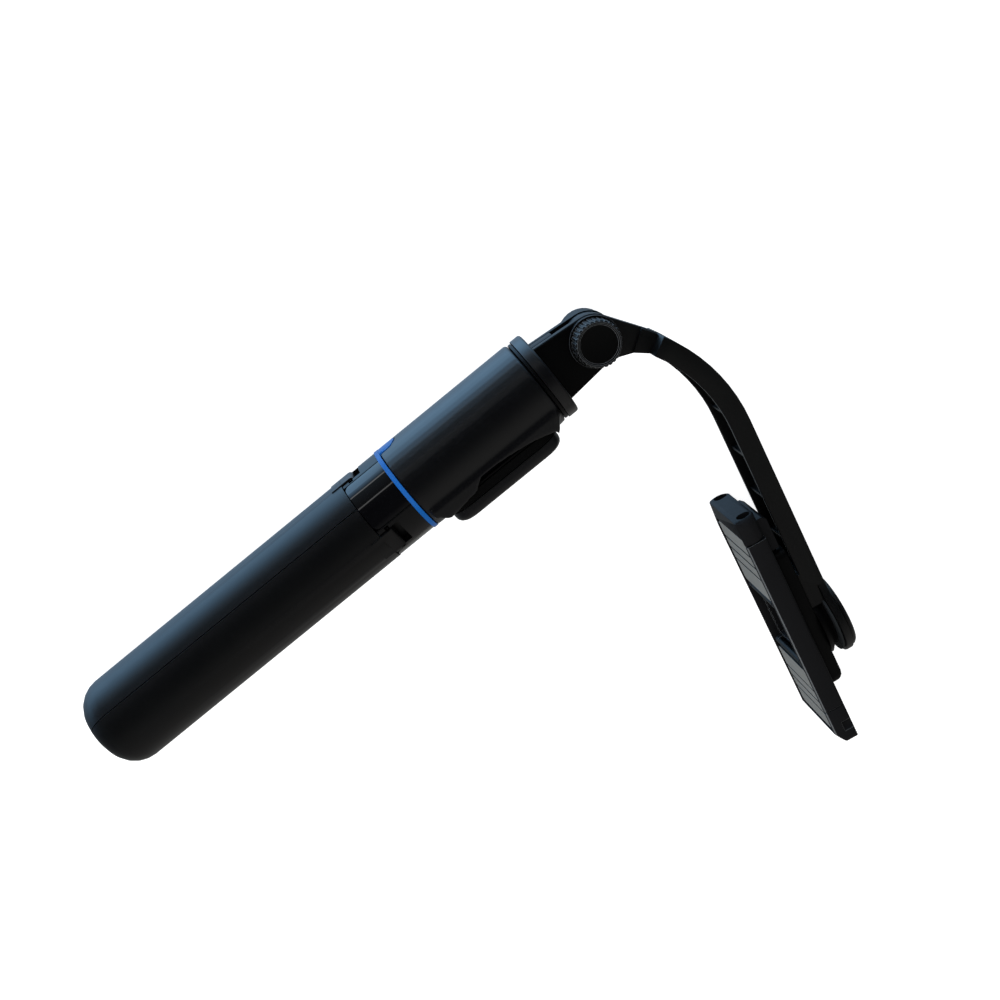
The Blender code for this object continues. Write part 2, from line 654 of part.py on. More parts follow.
def make_grip(handle):
    """The upper grip: a round housing that grows a square-shouldered pocket for the remote."""
    profile = [
        (GRIP_RADIUS - GRIP_EDGE, GRIP_TOP),
        (GRIP_RADIUS, GRIP_TOP - GRIP_EDGE),
        (GRIP_RADIUS, GRIP_BOTTOM),
        (BORE_RADIUS - GAP, GRIP_BOTTOM),
        (BORE_RADIUS - GAP, GRIP_TOP),
    ]
    grip = turned("grip_housing", profile, HANDLE_SEGMENTS)

    # Side outline of the pocket block: distance from the axis towards the remote, and height.
    start = REMOTE_BOTTOM_STATION
    end = start + REMOTE_LENGTH
    inside = GRIP_RADIUS / 2
    low = start + SCOOP_START + SCOOP_DROP
    rise = POCKET_RIM_END - POCKET_RIM_LOW
    radius = ((end - low) ** 2 + rise**2) / (2 * rise)
    turn = math.degrees(math.asin((end - low) / radius))
    outline = [
        (inside, start - LIP_RAMP),
        *smooth_step(LIP_FOOT, POCKET_LOWER_LIP, start - LIP_RAMP, start - GAP),
        *smooth_step(POCKET_RIM_START, POCKET_RIM_LOW, start + SCOOP_START, low),
        *arc((POCKET_RIM_LOW + radius, low), radius, 180, 180 - turn, POCKET_STEPS)[1:],
        *smooth_step(POCKET_UPPER_LIP, LIP_FOOT, end + GAP, end + LIP_FALL),
        (inside, end + LIP_FALL),
    ]
    block = plate("pocket_block", outline, -GRIP_RADIUS, GRIP_RADIUS)
    place(block, grip, rotation=(math.pi / 2, 0, -math.pi / 2))

    # Cross-section of the pocket block: its sides lean in from the round grip to round corners.
    lean = math.degrees(POCKET_LEAN)
    foot = (GRIP_RADIUS * math.cos(POCKET_LEAN), GRIP_RADIUS * math.sin(POCKET_LEAN))
    depth = POCKET_UPPER_LIP - POCKET_CORNER
    middle = foot[0] - (depth - foot[1]) * math.tan(POCKET_LEAN) - POCKET_CORNER / math.cos(POCKET_LEAN)
    section = [
        (-foot[0], 0),
        (-foot[0], -foot[1]),
        *arc((-middle, -depth), POCKET_CORNER, 180 + lean, 270, CORNER_STEPS),
        *arc((middle, -depth), POCKET_CORNER, 270, 360 - lean, CORNER_STEPS),
        (foot[0], -foot[1]),
        (foot[0], 0),
    ]
    common(block, place(plate("pocket_section", section, 0, FAR * 3), grip))
    add(grip, block)
    cut(grip, rod("grip_bore", BORE_RADIUS, 0, FAR * 3))

    well = remote_plan("remote_well", REMOTE_BOTTOM - DOCK_THICKNESS - 2 * GAP, FAR, GAP)
    cut(grip, place(well, rotation=TOWARDS_REMOTE))
    cut(grip, tab_shape("tab_recess", GRIP_RADIUS - TAB_THICKNESS - GAP, FAR, GAP))
    finish(grip, SOFT_BLACK, handle)


# ---- remote: drawn with X up the handle and Z outwards ------------------------------------------------
def make_remote(handle):
    facing = empty("remote", handle, rotation=TOWARDS_REMOTE)
    cover_bottom = REMOTE_BOTTOM + REMOTE_BASE_HEIGHT + GAP
    button_bottom = REMOTE_TOP - BUTTON_HEIGHT
    chamber_top = REMOTE_TOP - REMOTE_COVER_TOP_WALL

    dock = remote_plan("dock_plate", REMOTE_BOTTOM - DOCK_THICKNESS - GAP, REMOTE_BOTTOM - GAP, -GAP)
    finish(dock, MATTE_BLACK, facing)

    base = remote_plan("remote_base", REMOTE_BOTTOM, REMOTE_BOTTOM + REMOTE_BASE_HEIGHT, 0)
    well_floor = REMOTE_BOTTOM + SHELL_WALL
    cell_well = rod("cell_well", COIN_CELL_RADIUS + GAP, well_floor, REMOTE_TOP)
    cut(base, place(cell_well, location=(REMOTE_CENTRE, 0, 0)))
    finish(base, MATTE_BLACK, facing)

    cell_bottom = well_floor + GAP
    cell = rod("coin_cell", COIN_CELL_RADIUS, cell_bottom, cell_bottom + COIN_CELL_HEIGHT)
    finish(cell, STEEL, facing, location=(REMOTE_CENTRE, 0, 0))

    board_bottom = cell_bottom + COIN_CELL_HEIGHT + GAP
    board = remote_plan("remote_board", board_bottom, board_bottom + BOARD_THICKNESS, -SHELL_WALL - GAP)
    finish(board, BOARD_GREEN, facing)

    cover = remote_plan("remote_cover", REMOTE_BOTTOM - REMOTE_EDGE, REMOTE_TOP, 0)
    bevel(cover, REMOTE_EDGE, 4)
    cut(cover, box("below_cover", (0, -FAR, 0), (FAR * 3, FAR, cover_bottom)))
    cut(cover, remote_plan("cover_chamber", REMOTE_BOTTOM, chamber_top, -SHELL_WALL))
    opening = rod("button_opening", BUTTON_RADIUS + GAP, REMOTE_BOTTOM, REMOTE_TOP + FAR)
    cut(cover, place(opening, location=(REMOTE_CENTRE, 0, 0)))
    finish(cover, SOFT_BLACK, facing)

    top = REMOTE_TOP + BUTTON_PROUD
    profile = [
        (0, top - BUTTON_DISH),
        (BUTTON_RADIUS - BUTTON_RIM, top - BUTTON_DISH),
        (BUTTON_RADIUS - BUTTON_EDGE, top),
        (BUTTON_RADIUS, top - BUTTON_EDGE),
        (BUTTON_RADIUS, button_bottom),
        (BUTTON_STEM_RADIUS, button_bottom),
        (BUTTON_STEM_RADIUS, board_bottom + BOARD_THICKNESS + BUTTON_TRAVEL + GAP),
        (0, board_bottom + BOARD_THICKNESS + BUTTON_TRAVEL + GAP),
    ]
    finish(turned("remote_button", profile), GREY_RUBBER, facing, location=(REMOTE_CENTRE, 0, 0))


# ---- mast and head ------------------------------------------------------------------------------------
def make_mast(handle):
    top = GRIP_TOP - MAST_TOP_DROP
    radius = MAST_RADIUS
    for number in range(MAST_SECTIONS):
        radius = MAST_RADIUS - number * (MAST_WALL + RUNNING)
        bottom = MAST_BOTTOM + number * MAST_STEP
        section_top = top + number * MAST_TOP_STEP
        section = tube(f"mast_tube_{number + 1}", radius, radius - MAST_WALL, bottom, section_top)
        finish(section, STEEL, handle)
    plug_radius = radius - MAST_WALL - GAP
    profile = [
        (SCREW_BORE, COLLAR_BOTTOM - GAP),
        (NECK_RADIUS, COLLAR_BOTTOM - GAP),
        (NECK_RADIUS, NECK_BOTTOM),
        (plug_radius, NECK_BOTTOM),
        (plug_radius, NECK_BOTTOM - PLUG_LENGTH),
        (SCREW_BORE, NECK_BOTTOM - PLUG_LENGTH),
    ]
    finish(turned("neck_plug", profile, HANDLE_SEGMENTS), MATTE_BLACK, handle)


def make_collar(head):
    inner = COLLAR_RADIUS - COLLAR_WALL
    profile = [
        (inner, COLLAR_TOP),
        (COLLAR_RADIUS - COLLAR_ROUNDING, COLLAR_TOP),
        *arc((COLLAR_RADIUS - COLLAR_ROUNDING, COLLAR_TOP - COLLAR_ROUNDING), COLLAR_ROUNDING, 80, 0, 3),
        (COLLAR_RADIUS, COLLAR_BOTTOM),
        (inner, COLLAR_BOTTOM),
    ]
    finish(turned("collar", profile, HANDLE_SEGMENTS), MATTE_BLACK, head)


def make_yoke(head):
    """The fork: a round foot inside the collar and two cheeks that narrow to the pivot's round ends."""
    foot_radius = COLLAR_RADIUS - COLLAR_WALL - GAP
    foot_top = COLLAR_TOP - FOOT_DROP
    yoke = rod("yoke", foot_radius, COLLAR_BOTTOM, foot_top, HANDLE_SEGMENTS)
    lean = math.degrees(math.atan2(CHEEK_BASE_HALF_WIDTH - CHEEK_TIP_RADIUS, PIVOT_HEIGHT))
    root = COLLAR_BOTTOM + FOOT_DROP

    def outline(grow):
        return [
            (root - grow, -CHEEK_BASE_HALF_WIDTH - grow),
            *arc((PIVOT, 0), CHEEK_TIP_RADIUS + grow, -90 + lean, 90 - lean, 4 * CORNER_STEPS),
            (root - grow, CHEEK_BASE_HALF_WIDTH + grow),
        ]

    fork = plate("cheeks", outline(0), -YOKE_HALF, YOKE_HALF)
    bevel(fork, CHEEK_EDGE, 1)
    add(yoke, place(fork, rotation=FROM_STICK))
    slot_half = TONGUE_THICKNESS / 2 + GAP
    floor = PIVOT - CHEEK_SLOT_REACH
    slot = box("yoke_slot", (floor, -FAR, -slot_half), (FAR * 3, FAR, slot_half))
    cut(yoke, place(slot, rotation=FROM_STICK))
    for side in (-1, 1):
        middle = side * slot_half
        line = plate(
            f"cheek_line_{side}", outline(CHEEK_LINE), middle - CHEEK_LINE / 2, middle + CHEEK_LINE / 2,
            [outline(-CHEEK_LINE)],
        )
        common(line, box(f"cheek_line_limit_{side}", (foot_top, -FAR, -FAR), (floor + GAP, FAR, FAR)))
        cut(yoke, place(line, rotation=FROM_STICK))
    bore = rod("pivot_bore", PIVOT_BOLT_RADIUS + GAP, -FAR, FAR, PIN_SEGMENTS)
    seat = empty("pivot_bore_seat", yoke, rotation=FROM_STICK)
    cut(yoke, place(bore, seat, (PIVOT, 0, 0)))
    seat_height = foot_top - SCREW_HEAD_SINK
    cut(yoke, rod("screw_bore", SCREW_BORE, 0, seat_height + GAP, PIN_SEGMENTS))
    cut(yoke, rod("screw_well", SWIVEL_SCREW_HEAD_RADIUS + GAP, seat_height, floor + GAP))
    finish(yoke, MATTE_BLACK, head)

    head_bottom = seat_height + GAP
    profile = [
        (0, head_bottom + SWIVEL_SCREW_HEAD_HEIGHT),
        (SWIVEL_SCREW_HEAD_RADIUS, head_bottom + SWIVEL_SCREW_HEAD_HEIGHT),
        (SWIVEL_SCREW_HEAD_RADIUS, head_bottom),
        (SWIVEL_SCREW_RADIUS, head_bottom),
        (SWIVEL_SCREW_RADIUS, NECK_BOTTOM - PLUG_LENGTH / 2),
        (0, NECK_BOTTOM - PLUG_LENGTH / 2),
    ]
    finish(turned("swivel_screw", profile), STEEL, head)


def make_pivot(pivot):
    """The pivot's bolt, its nut on the far side and the round knurled knob, along the stick's Z axis."""
    cheek_face = YOKE_HALF + GAP
    nut_top = -cheek_face
    nut = turned("pivot_nut", [
        (PIVOT_BOLT_RADIUS + GAP, nut_top),
        (NUT_RADIUS, nut_top),
        (NUT_RADIUS, nut_top - NUT_HEIGHT + NUT_EDGE),
        (NUT_RADIUS - NUT_EDGE, nut_top - NUT_HEIGHT),
        (PIVOT_BOLT_RADIUS + GAP, nut_top - NUT_HEIGHT),
    ])
    finish(nut, MATTE_BLACK, pivot)

    knob_bottom = cheek_face
    knob_top = knob_bottom + KNOB_HEIGHT
    knob = turned("knob", [
        (0, knob_top - KNOB_DISH_DEPTH),
        (KNOB_DISH_RADIUS, knob_top - KNOB_DISH_DEPTH),
        (KNOB_DISH_RADIUS + KNOB_DISH_DEPTH, knob_top),
        (KNOB_RADIUS - KNOB_EDGE, knob_top),
        (KNOB_RADIUS, knob_top - KNOB_EDGE),
        (KNOB_RADIUS, knob_bottom + KNOB_FLANGE_HEIGHT),
        (KNOB_FLANGE_RADIUS, knob_bottom + KNOB_FLANGE_HEIGHT),
        (KNOB_FLANGE_RADIUS, knob_bottom),
        (0, knob_bottom),
    ], 2 * KNOB_RIDGES)
    groove_shape = rod(
        "knob_groove", KNOB_RIDGE_DEPTH, knob_bottom + KNOB_FLANGE_HEIGHT, knob_top + KNOB_EDGE, 4
    )
    grooves = bmesh.new()
    for number in range(KNOB_RIDGES):
        turn = Matrix.Rotation(2 * math.pi * (number + 0.5) / KNOB_RIDGES, 4, "Z")
        first = len(grooves.verts)
        grooves.from_mesh(groove_shape.data)
        grooves.verts.ensure_lookup_table()
        made = grooves.verts[first:]
        bmesh.ops.transform(grooves, matrix=turn @ Matrix.Translation((KNOB_RADIUS, 0, 0)), verts=made)
    cut(knob, mesh_object("knob_grooves", grooves))
    bolt_top = knob_bottom + KNOB_HEIGHT / 2
    cut(knob, rod("knob_socket", PIVOT_BOLT_RADIUS + GAP, -FAR, bolt_top + GAP, PIN_SEGMENTS))
    finish(knob, MATTE_BLACK, pivot)

    bolt = rod("pivot_bolt", PIVOT_BOLT_RADIUS, nut_top - NUT_HEIGHT, bolt_top, PIN_SEGMENTS)
    finish(bolt, STEEL, pivot)


# ---- arm ----------------------------------------------------------------------------------------------
def arm_arc_centre():
    """Centre of the bend: the outer face's root line touches a circle round the pivot and the bend."""
    x = ARM_REACH - ARM_BEND_RADIUS
    y = (ARM_ROOT_OFFSET - ARM_BEND_RADIUS - x * math.cos(ARM_BEND)) / math.sin(ARM_BEND)
    return x, y


def arm_face(depth, low, high):
    """Points down a face of the arm at a depth under its outer face, between two turns of the bend."""
    return arc(arm_arc_centre(), ARM_BEND_RADIUS - depth, high, low, ARM_BEND_STEPS)


def root_straight():
    """Length of the root's outer face from the pivot to the start of the bend."""
    x, y = arm_arc_centre()
    return x * math.sin(ARM_BEND) - y * math.cos(ARM_BEND)


def shoulder_turn():
    """Turn of the channel's shoulder round the bend's centre, in degrees."""
    return math.degrees(ARM_BEND - (ARM_ROOT_LENGTH - root_straight()) / ARM_BEND_RADIUS)


def arm_channel():
    """The arm's channel and its round end pad, which flares out of the channel's sides."""
    start = shoulder_turn()
    half = ARM_WIDTH / 2
    pad_low = -PAD_CENTRE_DROP - PAD_RADIUS
    pad_high = -PAD_CENTRE_DROP + PAD_RADIUS + PAD_SHOULDER
    pad_inner = ARM_REACH - PAD_THICKNESS
    side = [
        *arm_face(0, 0, start),
        (ARM_REACH, pad_low),
        (pad_inner, pad_low),
        (pad_inner, pad_high),
        (ARM_REACH - ARM_DEPTH, pad_high + WALL_SLOPE),
        *reversed(arm_face(ARM_DEPTH, 0, start)),
    ]
    arm = plate("arm", side, -PAD_RADIUS - GAP, PAD_RADIUS + GAP)
    plan = [
        (FAR, half),
        (-PAD_CENTRE_DROP + FLARE_START, half),
        *arc((-PAD_CENTRE_DROP, 0), PAD_RADIUS, FLARE_TURN, 360 - FLARE_TURN, 6 * CORNER_STEPS),
        (-PAD_CENTRE_DROP + FLARE_START, -half),
        (FAR, -half),
    ]
    common(arm, place(plate("arm_plan", plan, -FAR, FAR), rotation=PLAN_ALONG_Y))
    bevel(arm, ARM_EDGE, 2)

    end = start - math.degrees(ARM_WALL / ARM_BEND_RADIUS)
    hollow = [
        *arm_face(ARM_WALL, 0, end),
        (ARM_REACH - ARM_WALL, pad_high + WALL_SLOPE / 2),
        (pad_inner - GAP, pad_high),
        (ARM_REACH - 2 * ARM_DEPTH, pad_high),
        *reversed(arm_face(2 * ARM_DEPTH, 0, end)),
    ]
    return cut(arm, plate("arm_hollow", hollow, -half + ARM_WALL, half - ARM_WALL))


def add_arm_ribs(arm):
    """Cross ribs at an even pitch along the channel's lip, square to the outer face."""
    x, y = arm_arc_centre()
    lip_radius = ARM_BEND_RADIUS - ARM_DEPTH
    start = math.radians(shoulder_turn())
    half = (ARM_WIDTH - ARM_WALL) / 2
    low = ARM_BEND_RADIUS - ARM_DEPTH + ARM_RIB_DROP
    high = ARM_BEND_RADIUS - ARM_WALL / 2
    for number in range(1, ARM_RIB_COUNT + 1):
        station = number * ARM_RIB_PITCH
        turn = max(start - station / lip_radius, 0)
        beyond = max(station - start * lip_radius, 0)
        rib = box(f"arm_rib_{number}", (low, -ARM_RIB / 2, -half), (high, ARM_RIB / 2, half))
        add(arm, place(rib, location=(x, y - beyond, 0), rotation=(0, 0, turn)))


def add_arm_root(arm):
    """The tongue between the yoke's cheeks and the thicker root that meets the channel's shoulder."""
    x, y = arm_arc_centre()
    bend = math.degrees(ARM_BEND)
    end = shoulder_turn() - math.degrees(ARM_WALL / ARM_BEND_RADIUS) / 2

    def on_bend(depth, turn):
        reach = ARM_BEND_RADIUS - depth
        return x + reach * math.cos(math.radians(turn)), y + reach * math.sin(math.radians(turn))

    def on_root(depth, along):
        offset = ARM_ROOT_OFFSET - depth
        return (
            offset * math.cos(ARM_BEND) + along * math.sin(ARM_BEND),
            offset * math.sin(ARM_BEND) - along * math.cos(ARM_BEND),
        )

    tongue = [
        *arm_face(0, end, bend),
        on_bend(ARM_DEPTH, end),
        on_bend(ARM_ROOT_DEPTH, bend),
        *arc((0, 0), ARM_ROOT_OFFSET, -90, -360 + bend, 5 * CORNER_STEPS),
    ]
    add(arm, plate("arm_tongue", tongue, -TONGUE_THICKNESS / 2, TONGUE_THICKNESS / 2))
    thick_start = root_straight() - ARM_THICK_LEAD
    root = [
        on_root(ARM_ROOT_INSET, thick_start),
        *arm_face(ARM_ROOT_INSET, end, bend),
        on_bend(ARM_DEPTH - ARM_ROOT_INSET, end),
        on_bend(ARM_ROOT_DEPTH - ARM_ROOT_INSET, bend),
        on_root(ARM_ROOT_DEPTH - ARM_ROOT_INSET, thick_start),
    ]
    add(arm, plate("arm_root", root, -ARM_ROOT_THICKNESS / 2, ARM_ROOT_THICKNESS / 2))


def make_arm(frame):
    """The curved arm: a ribbed channel that opens inwards, from a root tongue to a flared round pad."""
    arm = arm_channel()
    add_arm_ribs(arm)
    add_arm_root(arm)
    cut(arm, rod("arm_bore", PIVOT_BOLT_RADIUS + GAP, -FAR, FAR, PIN_SEGMENTS))
    shaft = rod("shaft_bore", SWIVEL_SHAFT_RADIUS + GAP, -FAR, FAR, PIN_SEGMENTS)
    cut(arm, place(shaft, location=(0, -PAD_CENTRE_DROP, 0), rotation=FACING_X))
    finish(arm, MATTE_BLACK, frame)

    outer = ARM_REACH + GAP
    radius = PAD_RADIUS - PAD_COVER_STEP
    top = outer + PAD_COVER_THICKNESS
    cap = turned("pad_cover", [
        (0, top),
        (radius - PAD_COVER_EDGE, top),
        (radius, top - PAD_COVER_EDGE),
        (radius, outer),
        (radius - PAD_COVER_WALL, outer),
        (radius - PAD_COVER_WALL, top - PAD_COVER_WALL),
        (0, top - PAD_COVER_WALL),
    ], HANDLE_SEGMENTS)
    finish(cap, MATTE_BLACK, frame, location=(0, -PAD_CENTRE_DROP, 0), rotation=FACING_X)


# ---- clamp: local X out of its back, local Y towards the jaw ------------------------------------------
def clamp_section(name, y0, y1):
    """The clamp's round-edged cross-section between two heights, with its plan's round corners."""
    half = CLAMP_WIDTH / 2
    outline = rounded_box(0, CLAMP_DEPTH, -half, half, CLAMP_SIDE_ROUNDING, 3)
    section = place(plate(name, outline, -y1, -y0), rotation=FACING_MINUS_Y)
    return bake_placed(section)


def plan_plate(name, outline, back, front):
    """A plan outline (along the clamp, across it) between two depths."""
    return place(plate(name, outline, back, front), rotation=PLAN_ALONG_Y)


def clamp_plan(name):
    half = CLAMP_WIDTH / 2
    return plan_plate(name, rounded_box(-CLAMP_DOWN, CLAMP_UP, -half, half, CLAMP_CORNER), -FAR, FAR)


def clamp_box(name, x0, x1, y0, y1, half_width):
    return box(name, (x0, y0, -half_width), (x1, y1, half_width))


def add_ears(item, which, height):
    """Two ears that hold a flap's pin, standing on the floor behind the flap."""
    reach = SEAT_DEPTH + CLAMP_FLOOR / 2
    outline = [
        *arc((FLAP_HINGE_DEPTH, height), FLAP_BARREL_RADIUS, 90, 270, 2 * CORNER_STEPS),
        (reach, height - FLAP_BARREL_RADIUS),
        (reach, height + FLAP_BARREL_RADIUS),
    ]
    for side, low in (("a", EAR_INNER), ("b", -EAR_INNER - FLAP_EAR_WIDTH)):
        add(item, plate(f"{which}_ear_{side}", outline, low, low + FLAP_EAR_WIDTH))
    bore = rod(f"{which}_ear_bore", FLAP_PIN_RADIUS + PIN_CLEARANCE, -EAR_OUTER, EAR_OUTER, PIN_SEGMENTS)
    cut(item, place(bore, location=(FLAP_HINGE_DEPTH, height, 0)))


def make_clamp_body(clamp):
    """The fixed frame: side walls, a deep channel for the jaw's tongue and a raised floor for its flap."""
    body = clamp_section("clamp_body", -CLAMP_DOWN + LOWER_CAP_LENGTH, CLAMP_UP - JAW_CAP_LENGTH - GAP)
    inside = CLAMP_WIDTH / 2 - CLAMP_WALL
    channel = TONGUE_HALF_WIDTH + RUNNING
    floor = CLAMP_DEPTH - CLAMP_FLOOR
    cut(body, clamp_box("flap_well", -FAR, SEAT_DEPTH, -FAR, FAR, inside))
    cut(body, clamp_box("jaw_channel", -FAR, floor, LOWER_HINGE + HINGE_MARGIN, FAR, channel))
    add_ears(body, "lower", LOWER_HINGE)
    finish(body, MATTE_BLACK, clamp)


def make_lower_cap(clamp):
    top = -CLAMP_DOWN + LOWER_CAP_LENGTH - GAP
    cap = clamp_section("lower_end_cap", -CLAMP_DOWN, top)
    common(cap, clamp_plan("lower_cap_plan"))
    run = CLAMP_DEPTH - CAP_TIP
    fall = LOWER_CAP_LENGTH - GAP - CAP_FRONT
    slant = [(-run, top - CAP_FRONT + fall), (2 * run, top - CAP_FRONT - 2 * fall), (-run, -FAR)]
    cut(cap, plate("lower_cap_slant", slant, -FAR, FAR))
    bevel(cap, CAP_EDGE, 3)
    well_end = LOWER_HINGE - FLAP_LENGTH - GAP
    cut(cap, clamp_box("lower_cap_well", -FAR, SEAT_DEPTH, well_end, FAR, CLAMP_WIDTH / 2 - CLAMP_WALL))
    for side in (-1, 1):
        notch = rod(f"lower_cap_notch_{side}", NOTCH_RADIUS, -FAR, FAR, PIN_SEGMENTS)
        offset = side * (CLAMP_WIDTH / 2 + NOTCH_RADIUS - NOTCH_DEPTH)
        along = -CLAMP_DOWN + NOTCH_RISE
        limit = clamp_box(f"notch_limit_{side}", CLAMP_DEPTH / 2, FAR, -FAR, FAR, FAR)
        place(notch, cap, (0, along, offset), FACING_X)
        cut(cap, common(notch, place(limit, cap)))
    finish(cap, MATTE_BLACK, clamp)


def make_back_cover(clamp):
    """The long cover on the clamp's back, hollow for the jaw's guide rods and springs."""
    bottom = CLAMP_DEPTH + GAP
    top = bottom + COVER_HEIGHT
    low = COVER_TOP - COVER_LENGTH
    outline = rounded_box(low, COVER_TOP, -COVER_HALF_WIDTH, COVER_HALF_WIDTH, COVER_ROUNDING)
    cover = bake_placed(plan_plate("clamp_back_cover", outline, bottom, top))
    side = [
        (0, low),
        *arc((top - COVER_END_ROUNDING, low + COVER_END_ROUNDING), COVER_END_ROUNDING, -90, 0, CORNER_STEPS),
        (top, COVER_TOP),
        (0, COVER_TOP),
    ]
    common(cover, plate("cover_side", side, -FAR, FAR))
    bevel(cover, COVER_EDGE, 2)
    inside = rounded_box(
        low + COVER_END_WALL, COVER_TOP - COVER_WALL, -COVER_HALF_WIDTH + COVER_WALL,
        COVER_HALF_WIDTH - COVER_WALL, COVER_ROUNDING - COVER_WALL,
    )
    cut(cover, plan_plate("cover_hollow", inside, 0, top - COVER_WALL))
    for side in (-1, 1):
        bore = rod(f"rod_bore_{side}", ROD_RADIUS + RUNNING, -COVER_TOP - FAR, -COVER_TOP + COVER_ROUNDING)
        cut(cover, place(bore, location=(ROD_DEPTH, 0, side * ROD_SPACING / 2), rotation=FACING_MINUS_Y))
    finish(cover, MATTE_BLACK, clamp)


def make_jaw(clamp):
    """The sliding jaw: its end cap, the tongue in the frame and the carriage that holds the guide rods."""
    bottom = CLAMP_UP - JAW_CAP_LENGTH
    jaw = clamp_section("slide_jaw", bottom, CLAMP_UP)
    common(jaw, clamp_plan("jaw_plan"))
    bevel(jaw, CLAMP_EDGE, 2)
    cut(jaw, clamp_box("jaw_well", -FAR, SEAT_DEPTH, -FAR, CLAMP_UP - END_BAR, CLAMP_WIDTH / 2 - CLAMP_WALL))
    tongue_end = UPPER_HINGE - HINGE_MARGIN
    back = SEAT_DEPTH + TONGUE_DEPTH
    add(jaw, clamp_box("tongue", SEAT_DEPTH, back, tongue_end, bottom + GAP, TONGUE_HALF_WIDTH))
    add_ears(jaw, "upper", UPPER_HINGE)
    high = CLAMP_UP - CARRIAGE_DROP
    low = COVER_TOP + CARRIAGE_GAP
    near = CLAMP_DEPTH + GAP
    carriage = [
        (CLAMP_DEPTH - GAP, high),
        (CLAMP_DEPTH - GAP, bottom + GAP),
        (near, bottom + GAP),
        (near, low),
        (near + CARRIAGE_HEIGHT, low),
        (near + CARRIAGE_HEIGHT, high - CARRIAGE_SLOPE),
        (near + CARRIAGE_HEIGHT - CARRIAGE_SLOPE, high),
    ]
    add(jaw, plate("carriage", carriage, -COVER_HALF_WIDTH, COVER_HALF_WIDTH))
    for side in (-1, 1):
        across = side * ROD_SPACING / 2
        bore = rod(f"rod_seat_{side}", ROD_RADIUS + TOUCH, -low - ROD_SEAT, FAR, PIN_SEGMENTS)
        cut(jaw, place(bore, location=(ROD_DEPTH, 0, across), rotation=FACING_MINUS_Y))
        middle = side * (CLAMP_WIDTH / 2 - OVAL_INSET)
        oval = rounded_box(
            OVAL_DEPTH - OVAL_HEIGHT / 2, OVAL_DEPTH + OVAL_HEIGHT / 2,
            middle - OVAL_WIDTH / 2, middle + OVAL_WIDTH / 2, OVAL_WIDTH / 2 - TOUCH,
        )
        pocket = plate(f"jaw_oval_{side}", oval, -CLAMP_UP - FAR, -CLAMP_UP + OVAL_SINK)
        cut(jaw, place(pocket, rotation=FACING_MINUS_Y))
    finish(jaw, MATTE_BLACK, clamp)

    rod_end = COVER_TOP - COVER_LENGTH + COVER_END_WALL + RUNNING
    shape = turned("guide_rod", [
        (0, low + ROD_SEAT - GAP),
        (ROD_RADIUS, low + ROD_SEAT - GAP),
        (ROD_RADIUS, rod_end + ROD_HEAD_LENGTH),
        (ROD_HEAD_RADIUS, rod_end + ROD_HEAD_LENGTH),
        (ROD_HEAD_RADIUS, rod_end),
        (0, rod_end),
    ], PIN_SEGMENTS)
    shape = bake(shape)
    coil = spring("spring", rod_end + ROD_HEAD_LENGTH + GAP, COVER_TOP - COVER_WALL - GAP)
    for number, side in ((1, -1), (2, 1)):
        location = (ROD_DEPTH, 0, side * ROD_SPACING / 2)
        finish(copy_of(shape, f"guide_rod_{number}"), STEEL, clamp, location, FACING_PLUS_Y)
        finish(copy_of(coil, f"spring_{number}"), SPRING_STEEL, clamp, location, FACING_PLUS_Y)


def spring(name, bottom, top):
    """A coil round local Z whose ends lie between two heights."""
    radius = ROD_RADIUS + GAP + SPRING_WIRE_RADIUS
    curve = bpy.data.curves.new(name, "CURVE")
    curve.dimensions = "3D"
    curve.bevel_depth = SPRING_WIRE_RADIUS
    curve.bevel_resolution = 1
    curve.use_fill_caps = True
    line = curve.splines.new("POLY")
    count = SPRING_TURNS * SPRING_POINTS_PER_TURN
    line.points.add(count)
    low = bottom + SPRING_WIRE_RADIUS
    rise = (top - bottom - 2 * SPRING_WIRE_RADIUS) / count
    for number, point in enumerate(line.points):
        turn = 2 * math.pi * number / SPRING_POINTS_PER_TURN
        point.co = (radius * math.cos(turn), radius * math.sin(turn), low + rise * number, 1)
    drawn = bpy.data.objects.new(name, curve)
    CUTTERS.objects.link(drawn)
    return bake(drawn)


